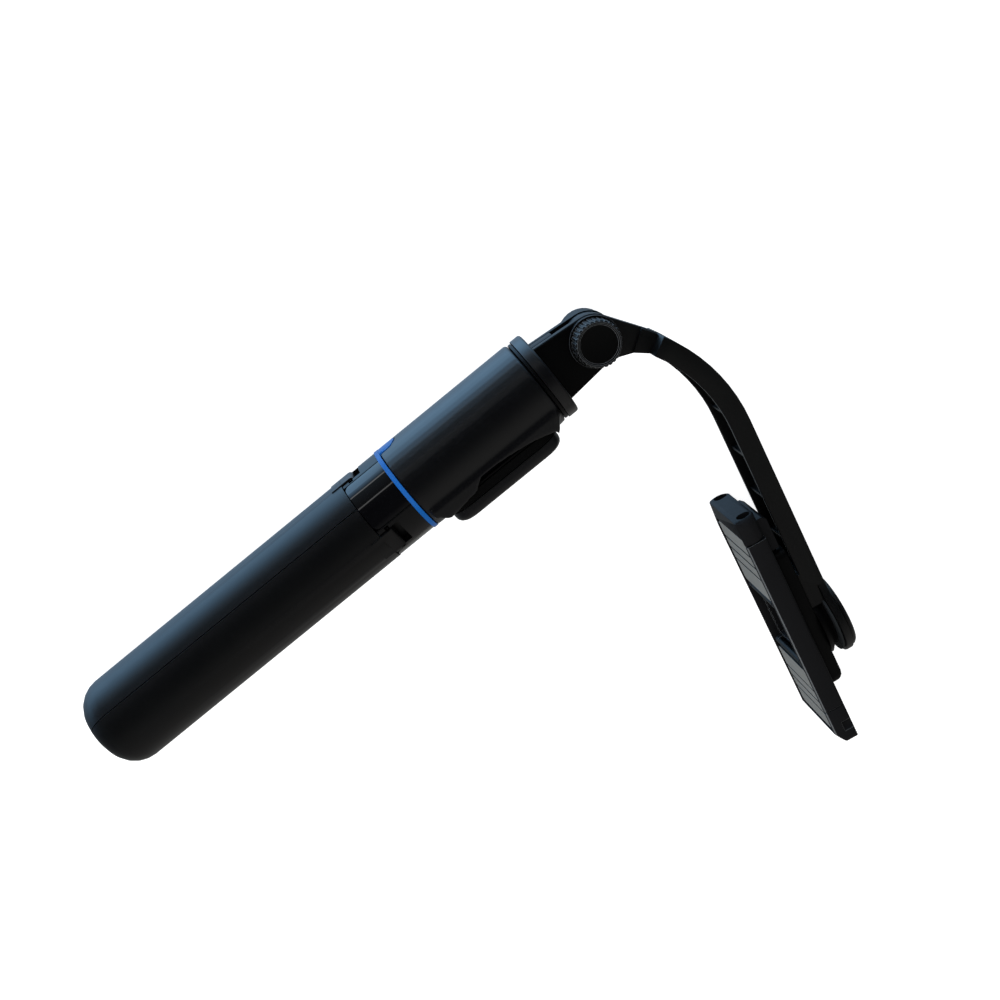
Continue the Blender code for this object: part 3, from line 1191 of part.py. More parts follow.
def make_flaps(clamp):
    """Two equal flaps that fold flat, away from each other, each with a grooved rubber pad and a pin."""
    half = CLAMP_WIDTH / 2 - CLAMP_WALL - RUNNING
    neck = EAR_INNER - RUNNING
    clear = FLAP_BARREL_RADIUS + RUNNING
    front = FLAP_FRONT + PAD_RUBBER_THICKNESS - FLAP_HINGE_DEPTH
    end = FLAP_LENGTH
    corner = FLAP_CORNER
    outline = [
        (0, -neck),
        (clear, -neck),
        (clear, -half),
        *arc((end - corner, -half + corner), corner, -90, 0, CORNER_STEPS),
        *arc((end - corner, half - corner), corner, 0, 90, CORNER_STEPS),
        (clear, half),
        (clear, neck),
        (0, neck),
    ]
    flap = bake_placed(plan_plate("flap", outline, front, front + FLAP_THICKNESS))
    add(flap, rod("flap_barrel", FLAP_BARREL_RADIUS, -neck, neck, PIN_SEGMENTS))
    cut(flap, rod("flap_bore", FLAP_PIN_RADIUS + PIN_CLEARANCE, -FAR, FAR, PIN_SEGMENTS))
    flap = bake(flap)

    face = FLAP_FRONT - FLAP_HINGE_DEPTH
    rubber_outline = rounded_box(
        clear + FLAP_RIM, end - FLAP_RIM, -half + FLAP_RIM, half - FLAP_RIM, FLAP_CORNER
    )
    rubber = bake_placed(plan_plate("flap_pad", rubber_outline, face, front - GAP))
    for number in range(PAD_GROOVES):
        along = end / 2 + (number - 1) * PAD_GROOVE_PITCH + PAD_GROOVE_SHIFT
        groove = clamp_box(
            f"pad_groove_{number}", -FAR, face + PAD_GROOVE_DEPTH,
            along - PAD_GROOVE_WIDTH / 2, along + PAD_GROOVE_WIDTH / 2, FAR,
        )
        cut(rubber, groove)
    rubber = bake(rubber)
    pin = rod("flap_pin", FLAP_PIN_RADIUS, -EAR_OUTER + GAP, EAR_OUTER - GAP, PIN_SEGMENTS)

    for which, height, turn in (("upper", UPPER_HINGE, 0), ("lower", LOWER_HINGE, math.pi)):
        hinge = empty(f"{which}_flap_hinge", clamp, (FLAP_HINGE_DEPTH, height, 0), (turn, 0, 0))
        finish(copy_of(flap, f"{which}_flap"), MATTE_BLACK, hinge)
        finish(copy_of(rubber, f"{which}_flap_pad"), GREY_RUBBER, hinge)
        finish(copy_of(pin, f"{which}_flap_pin"), STEEL, hinge)


def make_swivel(clamp):
    """The round hub on the back cover, the washer and the shaft that carries the clamp on the arm."""
    hub_bottom = HUB_SEAT - CLAMP_FACE_REACH
    hub_top = hub_bottom + SWIVEL_HUB_HEIGHT
    washer_bottom = WASHER_BOTTOM - CLAMP_FACE_REACH
    bore = SWIVEL_SHAFT_RADIUS + TOUCH
    seat = hub_bottom + HUB_FLOOR
    hub = turned("swivel_hub", [
        (0, seat),
        (bore, seat),
        (bore, hub_top),
        (SWIVEL_HUB_TOP_RADIUS, hub_top),
        (SWIVEL_HUB_TOP_RADIUS, hub_top - HUB_RIM),
        (SWIVEL_HUB_RADIUS, hub_bottom + HUB_RIM),
        (SWIVEL_HUB_RADIUS, hub_bottom),
        (0, hub_bottom),
    ], HANDLE_SEGMENTS)
    finish(hub, MATTE_BLACK, clamp, rotation=FACING_X)
    washer = tube(
        "swivel_washer", WASHER_RADIUS, SWIVEL_SHAFT_RADIUS + GAP,
        washer_bottom, washer_bottom + WASHER_THICKNESS,
    )
    finish(washer, GREY_RUBBER, clamp, rotation=FACING_X)
    head_bottom = ARM_REACH - CLAMP_FACE_REACH + GAP
    shaft = turned("swivel_shaft", [
        (0, head_bottom + SHAFT_HEAD_HEIGHT),
        (SWIVEL_SHAFT_HEAD_RADIUS, head_bottom + SHAFT_HEAD_HEIGHT),
        (SWIVEL_SHAFT_HEAD_RADIUS, head_bottom),
        (SWIVEL_SHAFT_RADIUS, head_bottom),
        (SWIVEL_SHAFT_RADIUS, seat + GAP),
        (0, seat + GAP),
    ], PIN_SEGMENTS)
    finish(shaft, STEEL, clamp, rotation=FACING_X)


# ---- whole stick --------------------------------------------------------------------------------------
def set_down(root):
    """Moves the stick so that the middle of its bounding box's underside is at the origin."""
    bpy.context.view_layer.update()
    graph = bpy.context.evaluated_depsgraph_get()
    corners = []
    for item in PARTS.objects:
        if item.type == "MESH":
            made = item.evaluated_get(graph)
            corners += [made.matrix_world @ vertex.co for vertex in made.data.vertices]
    low = Vector(min(corner[axis] for corner in corners) for axis in range(3))
    high = Vector(max(corner[axis] for corner in corners) for axis in range(3))
    root.location = (-(low.x + high.x) / 2, -(low.y + high.y) / 2, -low.z)
    bpy.context.view_layer.update()


def main():
    root = empty("stick")
    turned_handle = empty("handle_turn", root, rotation=(HANDLE_TURN, 0, 0))
    handle = empty("handle", turned_handle, rotation=FACING_X)
    make_legs(handle)
    make_hub(handle)
    make_trim(handle)
    make_grip(handle)
    make_remote(handle)
    make_mast(handle)
    head = empty("head", root, rotation=FACING_X)
    make_collar(head)
    make_yoke(head)
    pivot = empty("pivot", root, (PIVOT, 0, 0))
    make_pivot(pivot)
    arm = empty("arm_frame", pivot, rotation=(0, 0, ARM_LEAN))
    make_arm(arm)
    clamp = empty("clamp_frame", arm, (CLAMP_FACE_REACH, -PAD_CENTRE_DROP, 0))
    make_clamp_body(clamp)
    make_lower_cap(clamp)
    make_back_cover(clamp)
    make_jaw(clamp)
    make_flaps(clamp)
    make_swivel(clamp)
    set_down(root)


main()
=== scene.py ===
"""Looks of a folding tripod selfie stick that lies on its side on a pale floor: a soft-touch handle
with a blue trim ring, a matt tilting head, a curved ribbed arm and a phone clamp with grooved
rubber pads."""

import json
import math

import bmesh
import bpy
from mathutils import Matrix, Vector


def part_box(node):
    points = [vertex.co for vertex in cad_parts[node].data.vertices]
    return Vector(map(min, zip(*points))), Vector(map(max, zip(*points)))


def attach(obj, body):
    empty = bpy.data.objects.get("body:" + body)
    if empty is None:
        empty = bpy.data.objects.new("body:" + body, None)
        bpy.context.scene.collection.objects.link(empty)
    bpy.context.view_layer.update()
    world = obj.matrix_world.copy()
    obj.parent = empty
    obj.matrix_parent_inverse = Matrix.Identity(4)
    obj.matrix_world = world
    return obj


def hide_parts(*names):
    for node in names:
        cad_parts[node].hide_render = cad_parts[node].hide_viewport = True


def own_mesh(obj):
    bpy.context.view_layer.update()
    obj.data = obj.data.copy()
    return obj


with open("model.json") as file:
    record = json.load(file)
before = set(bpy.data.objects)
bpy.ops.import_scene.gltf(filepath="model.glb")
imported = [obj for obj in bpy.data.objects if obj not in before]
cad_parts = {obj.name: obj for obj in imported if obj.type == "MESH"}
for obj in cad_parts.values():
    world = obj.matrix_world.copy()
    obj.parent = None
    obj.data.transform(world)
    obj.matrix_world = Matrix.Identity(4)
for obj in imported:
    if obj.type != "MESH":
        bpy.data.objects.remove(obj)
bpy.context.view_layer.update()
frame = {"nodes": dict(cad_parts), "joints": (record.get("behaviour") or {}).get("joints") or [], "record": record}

MM = 0.001
NODES = frame["nodes"]
RECORD = frame["record"]
BODY_OF = {
    node: body for body, nodes in RECORD["behaviour"]["bodies"].items() for node in nodes
}
SLOT_OF = {part["node"]: part["material_slot"] for part in RECORD["subparts"]}
JOINTS = {joint["name"]: joint for joint in frame["joints"]}

WELD = 0.001 * MM  # corners nearer than this are one corner
SEAM = 0.05 * MM  # play for telling that a corner lies on a level, and the gap under the ring

# ---- places on the stick, which lies along X -----------------------------------------------------
HUB_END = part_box("leg_hub")[1][0]
GRIP_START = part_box("grip_housing")[0][0]
GRIP_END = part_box("grip_housing")[1][0]
REMOTE_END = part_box("remote_base")[1][0]
RING_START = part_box("trim_ring")[0][0]
RING_BOTTOM = RING_START + 1.9 * MM
RING_TOP = RING_BOTTOM + 1.6 * MM
STICK_Y = (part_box("collar")[0][1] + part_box("collar")[1][1]) / 2
HUB_RADIUS = 16.7 * MM

# ---- directions of the clamp, from its swivel axis -----------------------------------------------
ALONG_CLAMP = Vector(JOINTS["jaw_slide"]["axis"]).normalized()
BEHIND_CLAMP = Vector((ALONG_CLAMP.y, -ALONG_CLAMP.x, 0))
SWIVEL_AXIS = sum((Vector(corner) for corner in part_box("swivel_shaft")), Vector()) / 2
MID_HEIGHT = SWIVEL_AXIS.z


# ---- materials -----------------------------------------------------------------------------------
def linear(hex_colour):
    """An sRGB hex colour as linear red, green, blue and alpha."""
    channels = [int(hex_colour[place : place + 2], 16) / 255 for place in (1, 3, 5)]
    return (*(c / 12.92 if c <= 0.04045 else ((c + 0.055) / 1.055) ** 2.4 for c in channels), 1)


def add_node(tree, kind, inputs=None, **settings):
    """Adds a node: settings are its properties, inputs fill its sockets with values or links."""
    made = tree.nodes.new(kind)
    for name, value in settings.items():
        setattr(made, name, value)
    for socket, value in (inputs or {}).items():
        if isinstance(value, bpy.types.NodeSocket):
            tree.links.new(value, made.inputs[socket])
        else:
            made.inputs[socket].default_value = value
    return made


def new_material(name):
    made = bpy.data.materials.new(name)
    made.use_nodes = True
    shader = made.node_tree.nodes["Principled BSDF"]
    place = add_node(made.node_tree, "ShaderNodeTexCoord").outputs["Object"]
    return made, made.node_tree, shader, place


MOTTLING = 14 * MM  # width of the colour's patches, where the melt flowed
HANDLING = 6 * MM  # width of the patches that hands polish
POLISH = 0.015  # by which those patches differ in roughness
DRAWN_SPREAD = 0.08  # by which a drawn surface differs in roughness
DRAWN_STRETCH = 0.02  # of a die line's width against its length
LINE_DEPTH = 0.004 * MM  # of a die line


def moulded(name, colour, worn_colour, roughness, grain, grain_depth, specular=0.5):
    """Injection-moulded plastic: an even grain from the tool's surface, faint flow mottling in the
    colour and patches that handling has polished."""
    made, tree, shader, place = new_material(name)
    mottling = add_node(tree, "ShaderNodeTexNoise", {
        "Vector": place, "Scale": 1 / MOTTLING, "Detail": 4,
    })
    tint = add_node(tree, "ShaderNodeMix", {
        "Factor": mottling.outputs["Fac"], "A": linear(colour), "B": linear(worn_colour),
    }, data_type="RGBA")
    tree.links.new(tint.outputs["Result"], shader.inputs["Base Color"])
    handling = add_node(tree, "ShaderNodeTexNoise", {
        "Vector": place, "Scale": 1 / HANDLING, "Detail": 6,
    })
    polish = add_node(tree, "ShaderNodeMapRange", {
        "Value": handling.outputs["Fac"], "From Min": 0.3, "From Max": 0.7,
        "To Min": roughness - POLISH, "To Max": roughness + POLISH,
    })
    tree.links.new(polish.outputs["Result"], shader.inputs["Roughness"])
    grains = add_node(tree, "ShaderNodeTexNoise", {
        "Vector": place, "Scale": 1 / grain, "Detail": 2,
    })
    bump = add_node(tree, "ShaderNodeBump", {
        "Height": grains.outputs["Fac"], "Strength": 1, "Distance": grain_depth,
    })
    tree.links.new(bump.outputs["Normal"], shader.inputs["Normal"])
    shader.inputs["Specular IOR Level"].default_value = specular
    return made


def drawn_metal(name, colour, roughness, line_spacing):
    """Bare metal drawn through a die: bright, with fine lines along the stick that spread its
    highlights."""
    made, tree, shader, place = new_material(name)
    stretched = add_node(tree, "ShaderNodeMapping", {
        "Vector": place, "Scale": (DRAWN_STRETCH, 1, 1),
    })
    lines = add_node(tree, "ShaderNodeTexNoise", {
        "Vector": stretched.outputs["Vector"], "Scale": 1 / line_spacing, "Detail": 3,
    })
    spread = add_node(tree, "ShaderNodeMapRange", {
        "Value": lines.outputs["Fac"], "To Min": roughness - DRAWN_SPREAD,
        "To Max": roughness + DRAWN_SPREAD,
    })
    tree.links.new(spread.outputs["Result"], shader.inputs["Roughness"])
    bump = add_node(tree, "ShaderNodeBump", {
        "Height": lines.outputs["Fac"], "Strength": 0.4, "Distance": LINE_DEPTH,
    })
    tree.links.new(bump.outputs["Normal"], shader.inputs["Normal"])
    shader.inputs["Base Color"].default_value = linear(colour)
    shader.inputs["Metallic"].default_value = 1
    return made


# ABS with a soft-touch lacquer: deep black, a broad satin sheen and no sparkle.
SOFT_TOUCH_ABS = moulded(
    "soft_touch_lacquered_abs", "#040405", "#060607", 0.34, 0.5 * MM, 0.003 * MM, 0.5,
)
# The legs' lacquer is the same but thinner, so their sheen is lower.
THIN_LACQUERED_ABS = moulded(
    "thin_lacquered_moulded_abs", "#040405", "#070707", 0.37, 0.5 * MM, 0.003 * MM, 0.30,
)
# ABS from a spark-eroded tool: black, evenly grained and dry, so that it stays dark in the head.
SPARKED_ABS = moulded(
    "spark_textured_moulded_abs", "#020202", "#040404", 0.40, 0.45 * MM, 0.008 * MM, 0.14,
)
# Glass-filled nylon: dry and dark, with a fine grain where the fibres reach the surface.
FILLED_NYLON = moulded(
    "glass_filled_moulded_nylon", "#040404", "#070707", 0.40, 0.35 * MM, 0.010 * MM, 0.35,
)
# ABS from a finely blasted tool: matt and slightly grey, so the clamp's frame stands out.
BLASTED_ABS = moulded(
    "fine_blasted_moulded_abs", "#0e0e0f", "#111112", 0.48, 0.30 * MM, 0.006 * MM, 0.12,
)
# The same ABS, lighter and glossier: a painted highlight on the softened edges of the clamp, its end cap and the
# knob.
EDGE_HIGHLIGHT_PAINTED_ABS = moulded(
    "moulded_abs_with_painted_edge_highlight", "#484a4b", "#545657", 0.34, 0.30 * MM, 0.003 * MM, 0.5,
)
# Polycarbonate from a polished tool: almost a mirror, with only the faintest waviness.
POLISHED_PC = moulded(
    "polished_moulded_polycarbonate", "#040405", "#060607", 0.05, 4 * MM, 0.006 * MM,
)
# Blue ABS, satin from a blasted tool.
BLUE_ABS = moulded("satin_blue_moulded_abs", "#0a5399", "#094e91", 0.32, 0.4 * MM, 0.004 * MM, 0.25)
# Silicone rubber, compression moulded: matt grey.
SILICONE = moulded("compression_moulded_silicone", "#73736f", "#6a6a66", 0.60, 0.5 * MM, 0.01 * MM)
# The same rubber, darker: the swivel washer is made of it, and on the pads it is painted shade in their grooves
# and along their sides.
DARK_SILICONE_AND_GROOVE_SHADE = moulded(
    "dark_moulded_silicone_and_painted_groove_shade", "#1d1f20", "#191b1c", 0.70, 0.5 * MM, 0.01 * MM, 0.2,
)
# Solder-masked glass-epoxy board.
SOLDER_MASK = moulded("solder_masked_epoxy_board", "#0f4a24", "#135529", 0.35, 0.5 * MM, 0.002 * MM)
# Stainless steel tube, drawn and polished.
DRAWN_STEEL = drawn_metal("drawn_stainless_steel", "#c9c9cc", 0.24, 0.12 * MM)
# Music wire, oiled and dull.
SPRING_WIRE = drawn_metal("cold_drawn_spring_wire", "#8b8b90", 0.38, 0.1 * MM)
# Steel wire blackened in hot salts: dark and oily.
BLACKENED_STEEL = drawn_metal("hot_blackened_steel_wire", "#17171a", 0.34, 0.1 * MM)

FINISH = {
    "soft_black": SOFT_TOUCH_ABS,
    "matte_black": SPARKED_ABS,
    "gloss_black": POLISHED_PC,
    "blue": BLUE_ABS,
    "grey_rubber": SILICONE,
    "circuit_board": SOLDER_MASK,
    "steel": DRAWN_STEEL,
    "spring_steel": SPRING_WIRE,
}
FINISH_OF = {
    "leg_1": THIN_LACQUERED_ABS,
    "leg_2": THIN_LACQUERED_ABS,
    "leg_3": THIN_LACQUERED_ABS,
    "leg_hub": THIN_LACQUERED_ABS,
    "swivel_washer": DARK_SILICONE_AND_GROOVE_SHADE,
    "arm": FILLED_NYLON,
    "pad_cover": FILLED_NYLON,
    "clamp_body": BLASTED_ABS,
    "slide_jaw": BLASTED_ABS,
    "lower_end_cap": BLASTED_ABS,
    "collar": SOFT_TOUCH_ABS,
    "leg_pin_1": BLACKENED_STEEL,
    "leg_pin_2": BLACKENED_STEEL,
    "leg_pin_3": BLACKENED_STEEL,
}
PAINTED_HIGHLIGHT_PIECES = ("clamp_body", "lower_end_cap", "knob")  # their softened edges carry a painted highlight
PADS = ("upper_flap_pad", "lower_flap_pad")


# ---- making pieces -------------------------------------------------------------------------------
SHARP = 35  # degrees from which an edge stays an edge
FLAT = 0.4  # degrees under which two faces are one
HALFWAY = 0.5  # share of the way to its neighbours that a corner moves in one pass


def finish_piece(piece, material, body, sharp=SHARP):
    piece.data.materials.clear()
    piece.data.materials.append(material)
    piece.data.shade_smooth()
    piece.data.set_sharp_from_angle(angle=math.radians(sharp))
    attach(piece, body)
    return piece


def new_piece(name, bm, material, body, sharp=SHARP):
    mesh = bpy.data.meshes.new(name)
    bm.to_mesh(mesh)
    bm.free()
    piece = bpy.data.objects.new(name, mesh)
    bpy.context.scene.collection.objects.link(piece)
    return finish_piece(piece, material, body, sharp)


def dress(node, edge=0.0, sharp=SHARP, reshape=None):
    """Shows a CAD node as a welded, smoothly shaded copy with softened edges."""
    bm = bmesh.new()
    bm.from_mesh(NODES[node].data)
    bmesh.ops.remove_doubles(bm, verts=bm.verts, dist=WELD)
    if reshape:
        reshape(bm)
        bmesh.ops.remove_doubles(bm, verts=bm.verts, dist=WELD)
    bmesh.ops.dissolve_limit(bm, angle_limit=math.radians(FLAT), verts=bm.verts, edges=bm.edges)
    finish = FINISH_OF.get(node, FINISH[SLOT_OF[node]])
    piece = new_piece(f"{node}_skin", bm, finish, BODY_OF[node], sharp)
    if edge:
        softening = piece.modifiers.new("edges", "BEVEL")
        softening.width = edge
        softening.segments = 2
        softening.limit_method = "ANGLE"
        softening.angle_limit = math.radians(sharp)
        # the bevels of these pieces take the lighter plastic: a painted edge highlight
        if node in PAINTED_HIGHLIGHT_PIECES:
            piece.data.materials.append(EDGE_HIGHLIGHT_PAINTED_ABS)
            softening.material = 1
    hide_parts(node)
    return piece


def melt(node, cell, passes, reshape=None):
    """Shows a CAD node as one soft skin: an even fine mesh whose creases are relaxed away."""
    piece = dress(node, reshape=reshape)
    even = piece.modifiers.new("even_mesh", "REMESH")
    even.mode = "VOXEL"
    even.voxel_size = cell
    even.use_smooth_shade = True
    relaxed = piece.modifiers.new("relaxed", "SMOOTH")
    relaxed.factor = HALFWAY
    relaxed.iterations = passes
    return piece


# ---- stage ---------------------------------------------------------------------------------------
VIEW_FROM = Vector((0.035, 0.32, 0.947)).normalized()  # from the object towards the camera
LOOK_AT = Vector((36.8, 58.8, 17.2)) * MM
CAMERA_DISTANCE = 501 * MM
CAMERA_ROLL = math.radians(39.12)  # between the picture's right side and the stick's axis
LENS = 50.4  # on a 36 mm wide sensor
FLOOR_HALF = 6  # metres from the middle of the floor to its edge
FLOOR_COLOUR = "#b4b4b4"
FLOOR_GLOW = 0.88


def place_camera():
    along = (Vector((1, 0, 0)) - VIEW_FROM * VIEW_FROM.x).normalized()
    across = VIEW_FROM.cross(along)
    right = along * math.cos(CAMERA_ROLL) - across * math.sin(CAMERA_ROLL)
    up = VIEW_FROM.cross(right)
    camera = bpy.data.objects.new("camera", bpy.data.cameras.new("camera"))
    camera.data.lens = LENS
    camera.data.clip_start = 10 * MM
    turn = Matrix((right, up, VIEW_FROM)).transposed().to_4x4()
    camera.matrix_world = Matrix.Translation(LOOK_AT + VIEW_FROM * CAMERA_DISTANCE) @ turn
    bpy.context.scene.collection.objects.link(camera)
    bpy.context.scene.camera = camera


def place_softbox(name, position, size, power, colour="#ffffff"):
    """A soft lamp that lights the object and the floor; its glare is left to the room."""
    lamp = bpy.data.lights.new(name, "AREA")
    lamp.shape = "RECTANGLE"
    lamp.size, lamp.size_y = size
    lamp.energy = power
    lamp.color = linear(colour)[:3]
    box = bpy.data.objects.new(name, lamp)
    box.location = position
    box.rotation_euler = (LOOK_AT - Vector(position)).to_track_quat("-Z", "Y").to_euler()
    box.visible_glossy = False
    bpy.context.scene.collection.objects.link(box)


def make_floor():
    """A pale floor that shows as white around the object and keeps its soft shadow."""
    bm = bmesh.new()
    bmesh.ops.create_grid(bm, x_segments=1, y_segments=1, size=FLOOR_HALF)
    mesh = bpy.data.meshes.new("floor")
    bm.to_mesh(mesh)
    bm.free()
    floor = bpy.data.objects.new("floor", mesh)
    floor.visible_glossy = False
    bpy.context.scene.collection.objects.link(floor)

    paper = bpy.data.materials.new("white_backdrop_paper")
    paper.use_nodes = True
    tree = paper.node_tree
    tree.nodes.clear()
    seen = add_node(tree, "ShaderNodeLightPath").outputs["Is Camera Ray"]
    brightness = add_node(tree, "ShaderNodeMath", {0: seen, 1: FLOOR_GLOW}, operation="MULTIPLY")
    glow = add_node(tree, "ShaderNodeEmission", {"Strength": brightness.outputs[0]})
    lit = add_node(tree, "ShaderNodeBsdfDiffuse", {"Color": linear(FLOOR_COLOUR)})
    both = add_node(tree, "ShaderNodeAddShader", {0: glow.outputs[0], 1: lit.outputs[0]})
    add_node(tree, "ShaderNodeOutputMaterial", {"Surface": both.outputs[0]})
    mesh.materials.append(paper)


# What a polished surface sees around the stick's long axis: the angle from the far side's horizon,
# up over the top, and the brightness there as red, green and blue.
ROOM = (
    (-180, (0.26, 0.25, 0.24)), (-135, (0.36, 0.36, 0.35)), (-105, (0.28, 0.31, 0.32)),
    (-62, (0.62, 0.95, 1.35)), (-34, (1.65, 2.95, 4.40)), (-12, (1.45, 2.55, 3.85)),
    (2, (0.40, 0.66, 0.98)), (5, (0.30, 0.40, 0.50)), (6, (3.0, 3.1, 3.2)), (7, (3.0, 3.1, 3.2)),
    (8, (0.16, 0.20, 0.23)), (39.5, (0.05, 0.05, 0.05)), (40.5, (2.0, 2.0, 2.0)),
    (42.0, (2.0, 2.0, 2.0)), (43, (0.03, 0.03, 0.03)), (60, (0.006, 0.006, 0.006)),
    (96, (0.012, 0.012, 0.012)), (120, (0.25, 0.25, 0.24)), (180, (0.34, 0.33, 0.32)),
)
ROOM_ENDS = (0.06, 0.07, 0.08)  # what is seen along the stick, past either end
ROOM_PEAK = 4.4


def make_world():
    """A white studio: a cool bright sweep low on the far side, a dim grey wall on the near side and
    dark overhead. The camera sees plain white."""
    world = bpy.data.worlds.new("studio")
    world.use_nodes = True
    world.cycles.sampling_method = "NONE"
    bpy.context.scene.world = world
    tree = world.node_tree
    tree.nodes.clear()
    towards = add_node(tree, "ShaderNodeTexCoord").outputs["Generated"]
    sides = add_node(tree, "ShaderNodeSeparateXYZ", {"Vector": towards}).outputs
    angle = add_node(tree, "ShaderNodeMath", {0: sides["Z"], 1: sides["Y"]}, operation="ARCTAN2")
    place = add_node(tree, "ShaderNodeMapRange", {
        "Value": angle.outputs[0], "From Min": -math.pi, "From Max": math.pi,
    })
    walls = add_node(tree, "ShaderNodeValToRGB", {"Fac": place.outputs["Result"]})
    stops = walls.color_ramp.elements
    while len(stops) < len(ROOM):
        stops.new(0.5)
    for stop, (degrees, brightness) in zip(stops, ROOM):
        stop.position = (degrees + 180) / 360
        stop.color = (*(channel / ROOM_PEAK for channel in brightness), 1)
    endwise = add_node(tree, "ShaderNodeMath", {0: sides["X"], 1: 2}, operation="POWER")
    around = add_node(tree, "ShaderNodeMix", {
        "Factor": endwise.outputs[0], "A": walls.outputs["Color"],
        "B": (*(channel / ROOM_PEAK for channel in ROOM_ENDS), 1),
    }, data_type="RGBA")
    room = add_node(tree, "ShaderNodeBackground", {
        "Color": around.outputs["Result"], "Strength": ROOM_PEAK,
    })
    white = add_node(tree, "ShaderNodeBackground", {"Color": (1, 1, 1, 1), "Strength": 1})
    seen = add_node(tree, "ShaderNodeLightPath").outputs["Is Camera Ray"]
    both = add_node(tree, "ShaderNodeMixShader", {0: seen, 1: room.outputs[0], 2: white.outputs[0]})
    add_node(tree, "ShaderNodeOutputWorld", {"Surface": both.outputs[0]})


# ---- shapes of single pieces ---------------------------------------------------------------------
def lift(bm, level, new_level):
    """Moves the end that lies at a level along the stick to a new level, and squares what it
    passes."""
    low, high = sorted((level, new_level))
    for vert in bm.verts:
        if low - SEAM < vert.co.x < high + SEAM:
            vert.co.x = new_level


def shift_ring(bm):
    """Narrows the ring's band and moves it up the handle."""
    for vert in bm.verts:
        if vert.co.x < RING_START + SEAM:
            vert.co.x = RING_BOTTOM
        elif vert.co.x < RING_TOP:
            vert.co.x = RING_TOP


def reach(node, direction):
    """How far a node lies along a direction from the clamp's swivel axis: its low and high ends."""
    places = [(vert.co - SWIVEL_AXIS).dot(direction) for vert in NODES[node].data.vertices]
    return min(places), max(places)


def slice_across(bm, point, normal):
    everything = [*bm.verts, *bm.edges, *bm.faces]
    bmesh.ops.bisect_plane(bm, geom=everything, plane_co=point, plane_no=normal)


def trim(bm, point, normal):
    """Cuts away what lies past a plane and closes the cut."""
    everything = [*bm.verts, *bm.edges, *bm.faces]
    cut = bmesh.ops.bisect_plane(
        bm, geom=everything, plane_co=point, plane_no=normal, clear_outer=True,
    )
    edges = [item for item in cut["geom_cut"] if isinstance(item, bmesh.types.BMEdge)]
    bmesh.ops.holes_fill(bm, edges=edges)


JAW_SIDE_STEPS = 14
JAW_FRONT_ROUNDING = 1.55 * MM
JAW_BACK_ROUNDING = 3.8 * MM
JAW_FAR_FRONT_ROUNDING = 4.5 * MM
JAW_FAR_BACK_ROUNDING = 6.5 * MM
JAW_BAR = 6.8 * MM  # length of the solid bar at the jaw's end


def round_jaw(bm):
    """Rounds both sides of the jaw's end cap, more at its back than at its front."""
    front, back = reach("clamp_body", BEHIND_CLAMP)
    seam = reach("clamp_body", ALONG_CLAMP)[1]
    middle = (front + back) / 2
    half_depth = (back - front) / 2
    half_width = (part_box("slide_jaw")[1][2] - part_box("slide_jaw")[0][2]) / 2
    for step in range(1, JAW_SIDE_STEPS):
        depth = middle - half_depth * math.cos(math.pi * step / JAW_SIDE_STEPS)
        slice_across(bm, SWIVEL_AXIS + BEHIND_CLAMP * depth, BEHIND_CLAMP)
    bar = reach("slide_jaw", ALONG_CLAMP)[1] - JAW_BAR
    for vert in bm.verts:
        place = vert.co - SWIVEL_AXIS
        depth = place.dot(BEHIND_CLAMP)
        rounding = JAW_FRONT_ROUNDING if depth < middle else JAW_BACK_ROUNDING
        if place.z < 0 and depth >= middle:
            rounding = JAW_FAR_BACK_ROUNDING
        elif place.z < 0 and place.dot(ALONG_CLAMP) > bar - SEAM:
            rounding = JAW_FAR_FRONT_ROUNDING
        out = abs(place.z) - (half_width - rounding)
        if place.dot(ALONG_CLAMP) > seam and depth < back + SEAM and out > 0:
            away = min(abs(depth - middle) / half_depth, 1)
            squeezed = half_width - rounding + out * math.sqrt(1 - away**2)
            vert.co.z = MID_HEIGHT + math.copysign(squeezed, place.z)


WINDOW_CORNER = 2.2 * MM
WINDOW_STEPS = 8


def round_window(bm):
    """Lifts the window's upper end to the ring and rounds the two corners of its lower end."""
    lift(bm, HUB_END, RING_BOTTOM - SEAM)
    low = min(vert.co.x for vert in bm.verts)
    axis = Vector((0, STICK_Y, MID_HEIGHT))
    centre = sum((vert.co for vert in bm.verts), Vector()) / len(bm.verts) - axis
    facing = math.atan2(centre.z, centre.y)

    def turn(vert):
        angle = math.atan2(vert.co.z - axis.z, vert.co.y - axis.y)
        return (angle - facing + math.pi) % (2 * math.pi) - math.pi

    half = max(abs(turn(vert)) for vert in bm.verts)
    for step in range(1, WINDOW_STEPS):
        share = 1 - math.cos(math.pi / 2 * step / WINDOW_STEPS)
        slice_across(bm, Vector((low + WINDOW_CORNER * share, 0, 0)), Vector((1, 0, 0)))
    corner = WINDOW_CORNER / HUB_RADIUS
    for vert in bm.verts:
        above = vert.co.x - low
        angle = turn(vert)
        out = abs(angle) - (half - corner)
        if above < WINDOW_CORNER and out > 0:
            squeeze = math.sqrt(max(1 - (1 - above / WINDOW_CORNER) ** 2, 0))
            new_angle = math.copysign(half - corner + out * squeeze, angle)
            spot = vert.co - axis
            radius = math.hypot(spot.y, spot.z)
            vert.co.y = axis.y + radius * math.cos(facing + new_angle)
            vert.co.z = axis.z + radius * math.sin(facing + new_angle)


FACING_FRONT = 0.9  # least lean of a pad's front faces
HIGHLIGHT_LEAN = (0.4, 0.93)  # of the front edge faces that carry the painted highlight, towards the front
HIGHLIGHT_SIDEWAYS = 0.3  # their least lean to the side


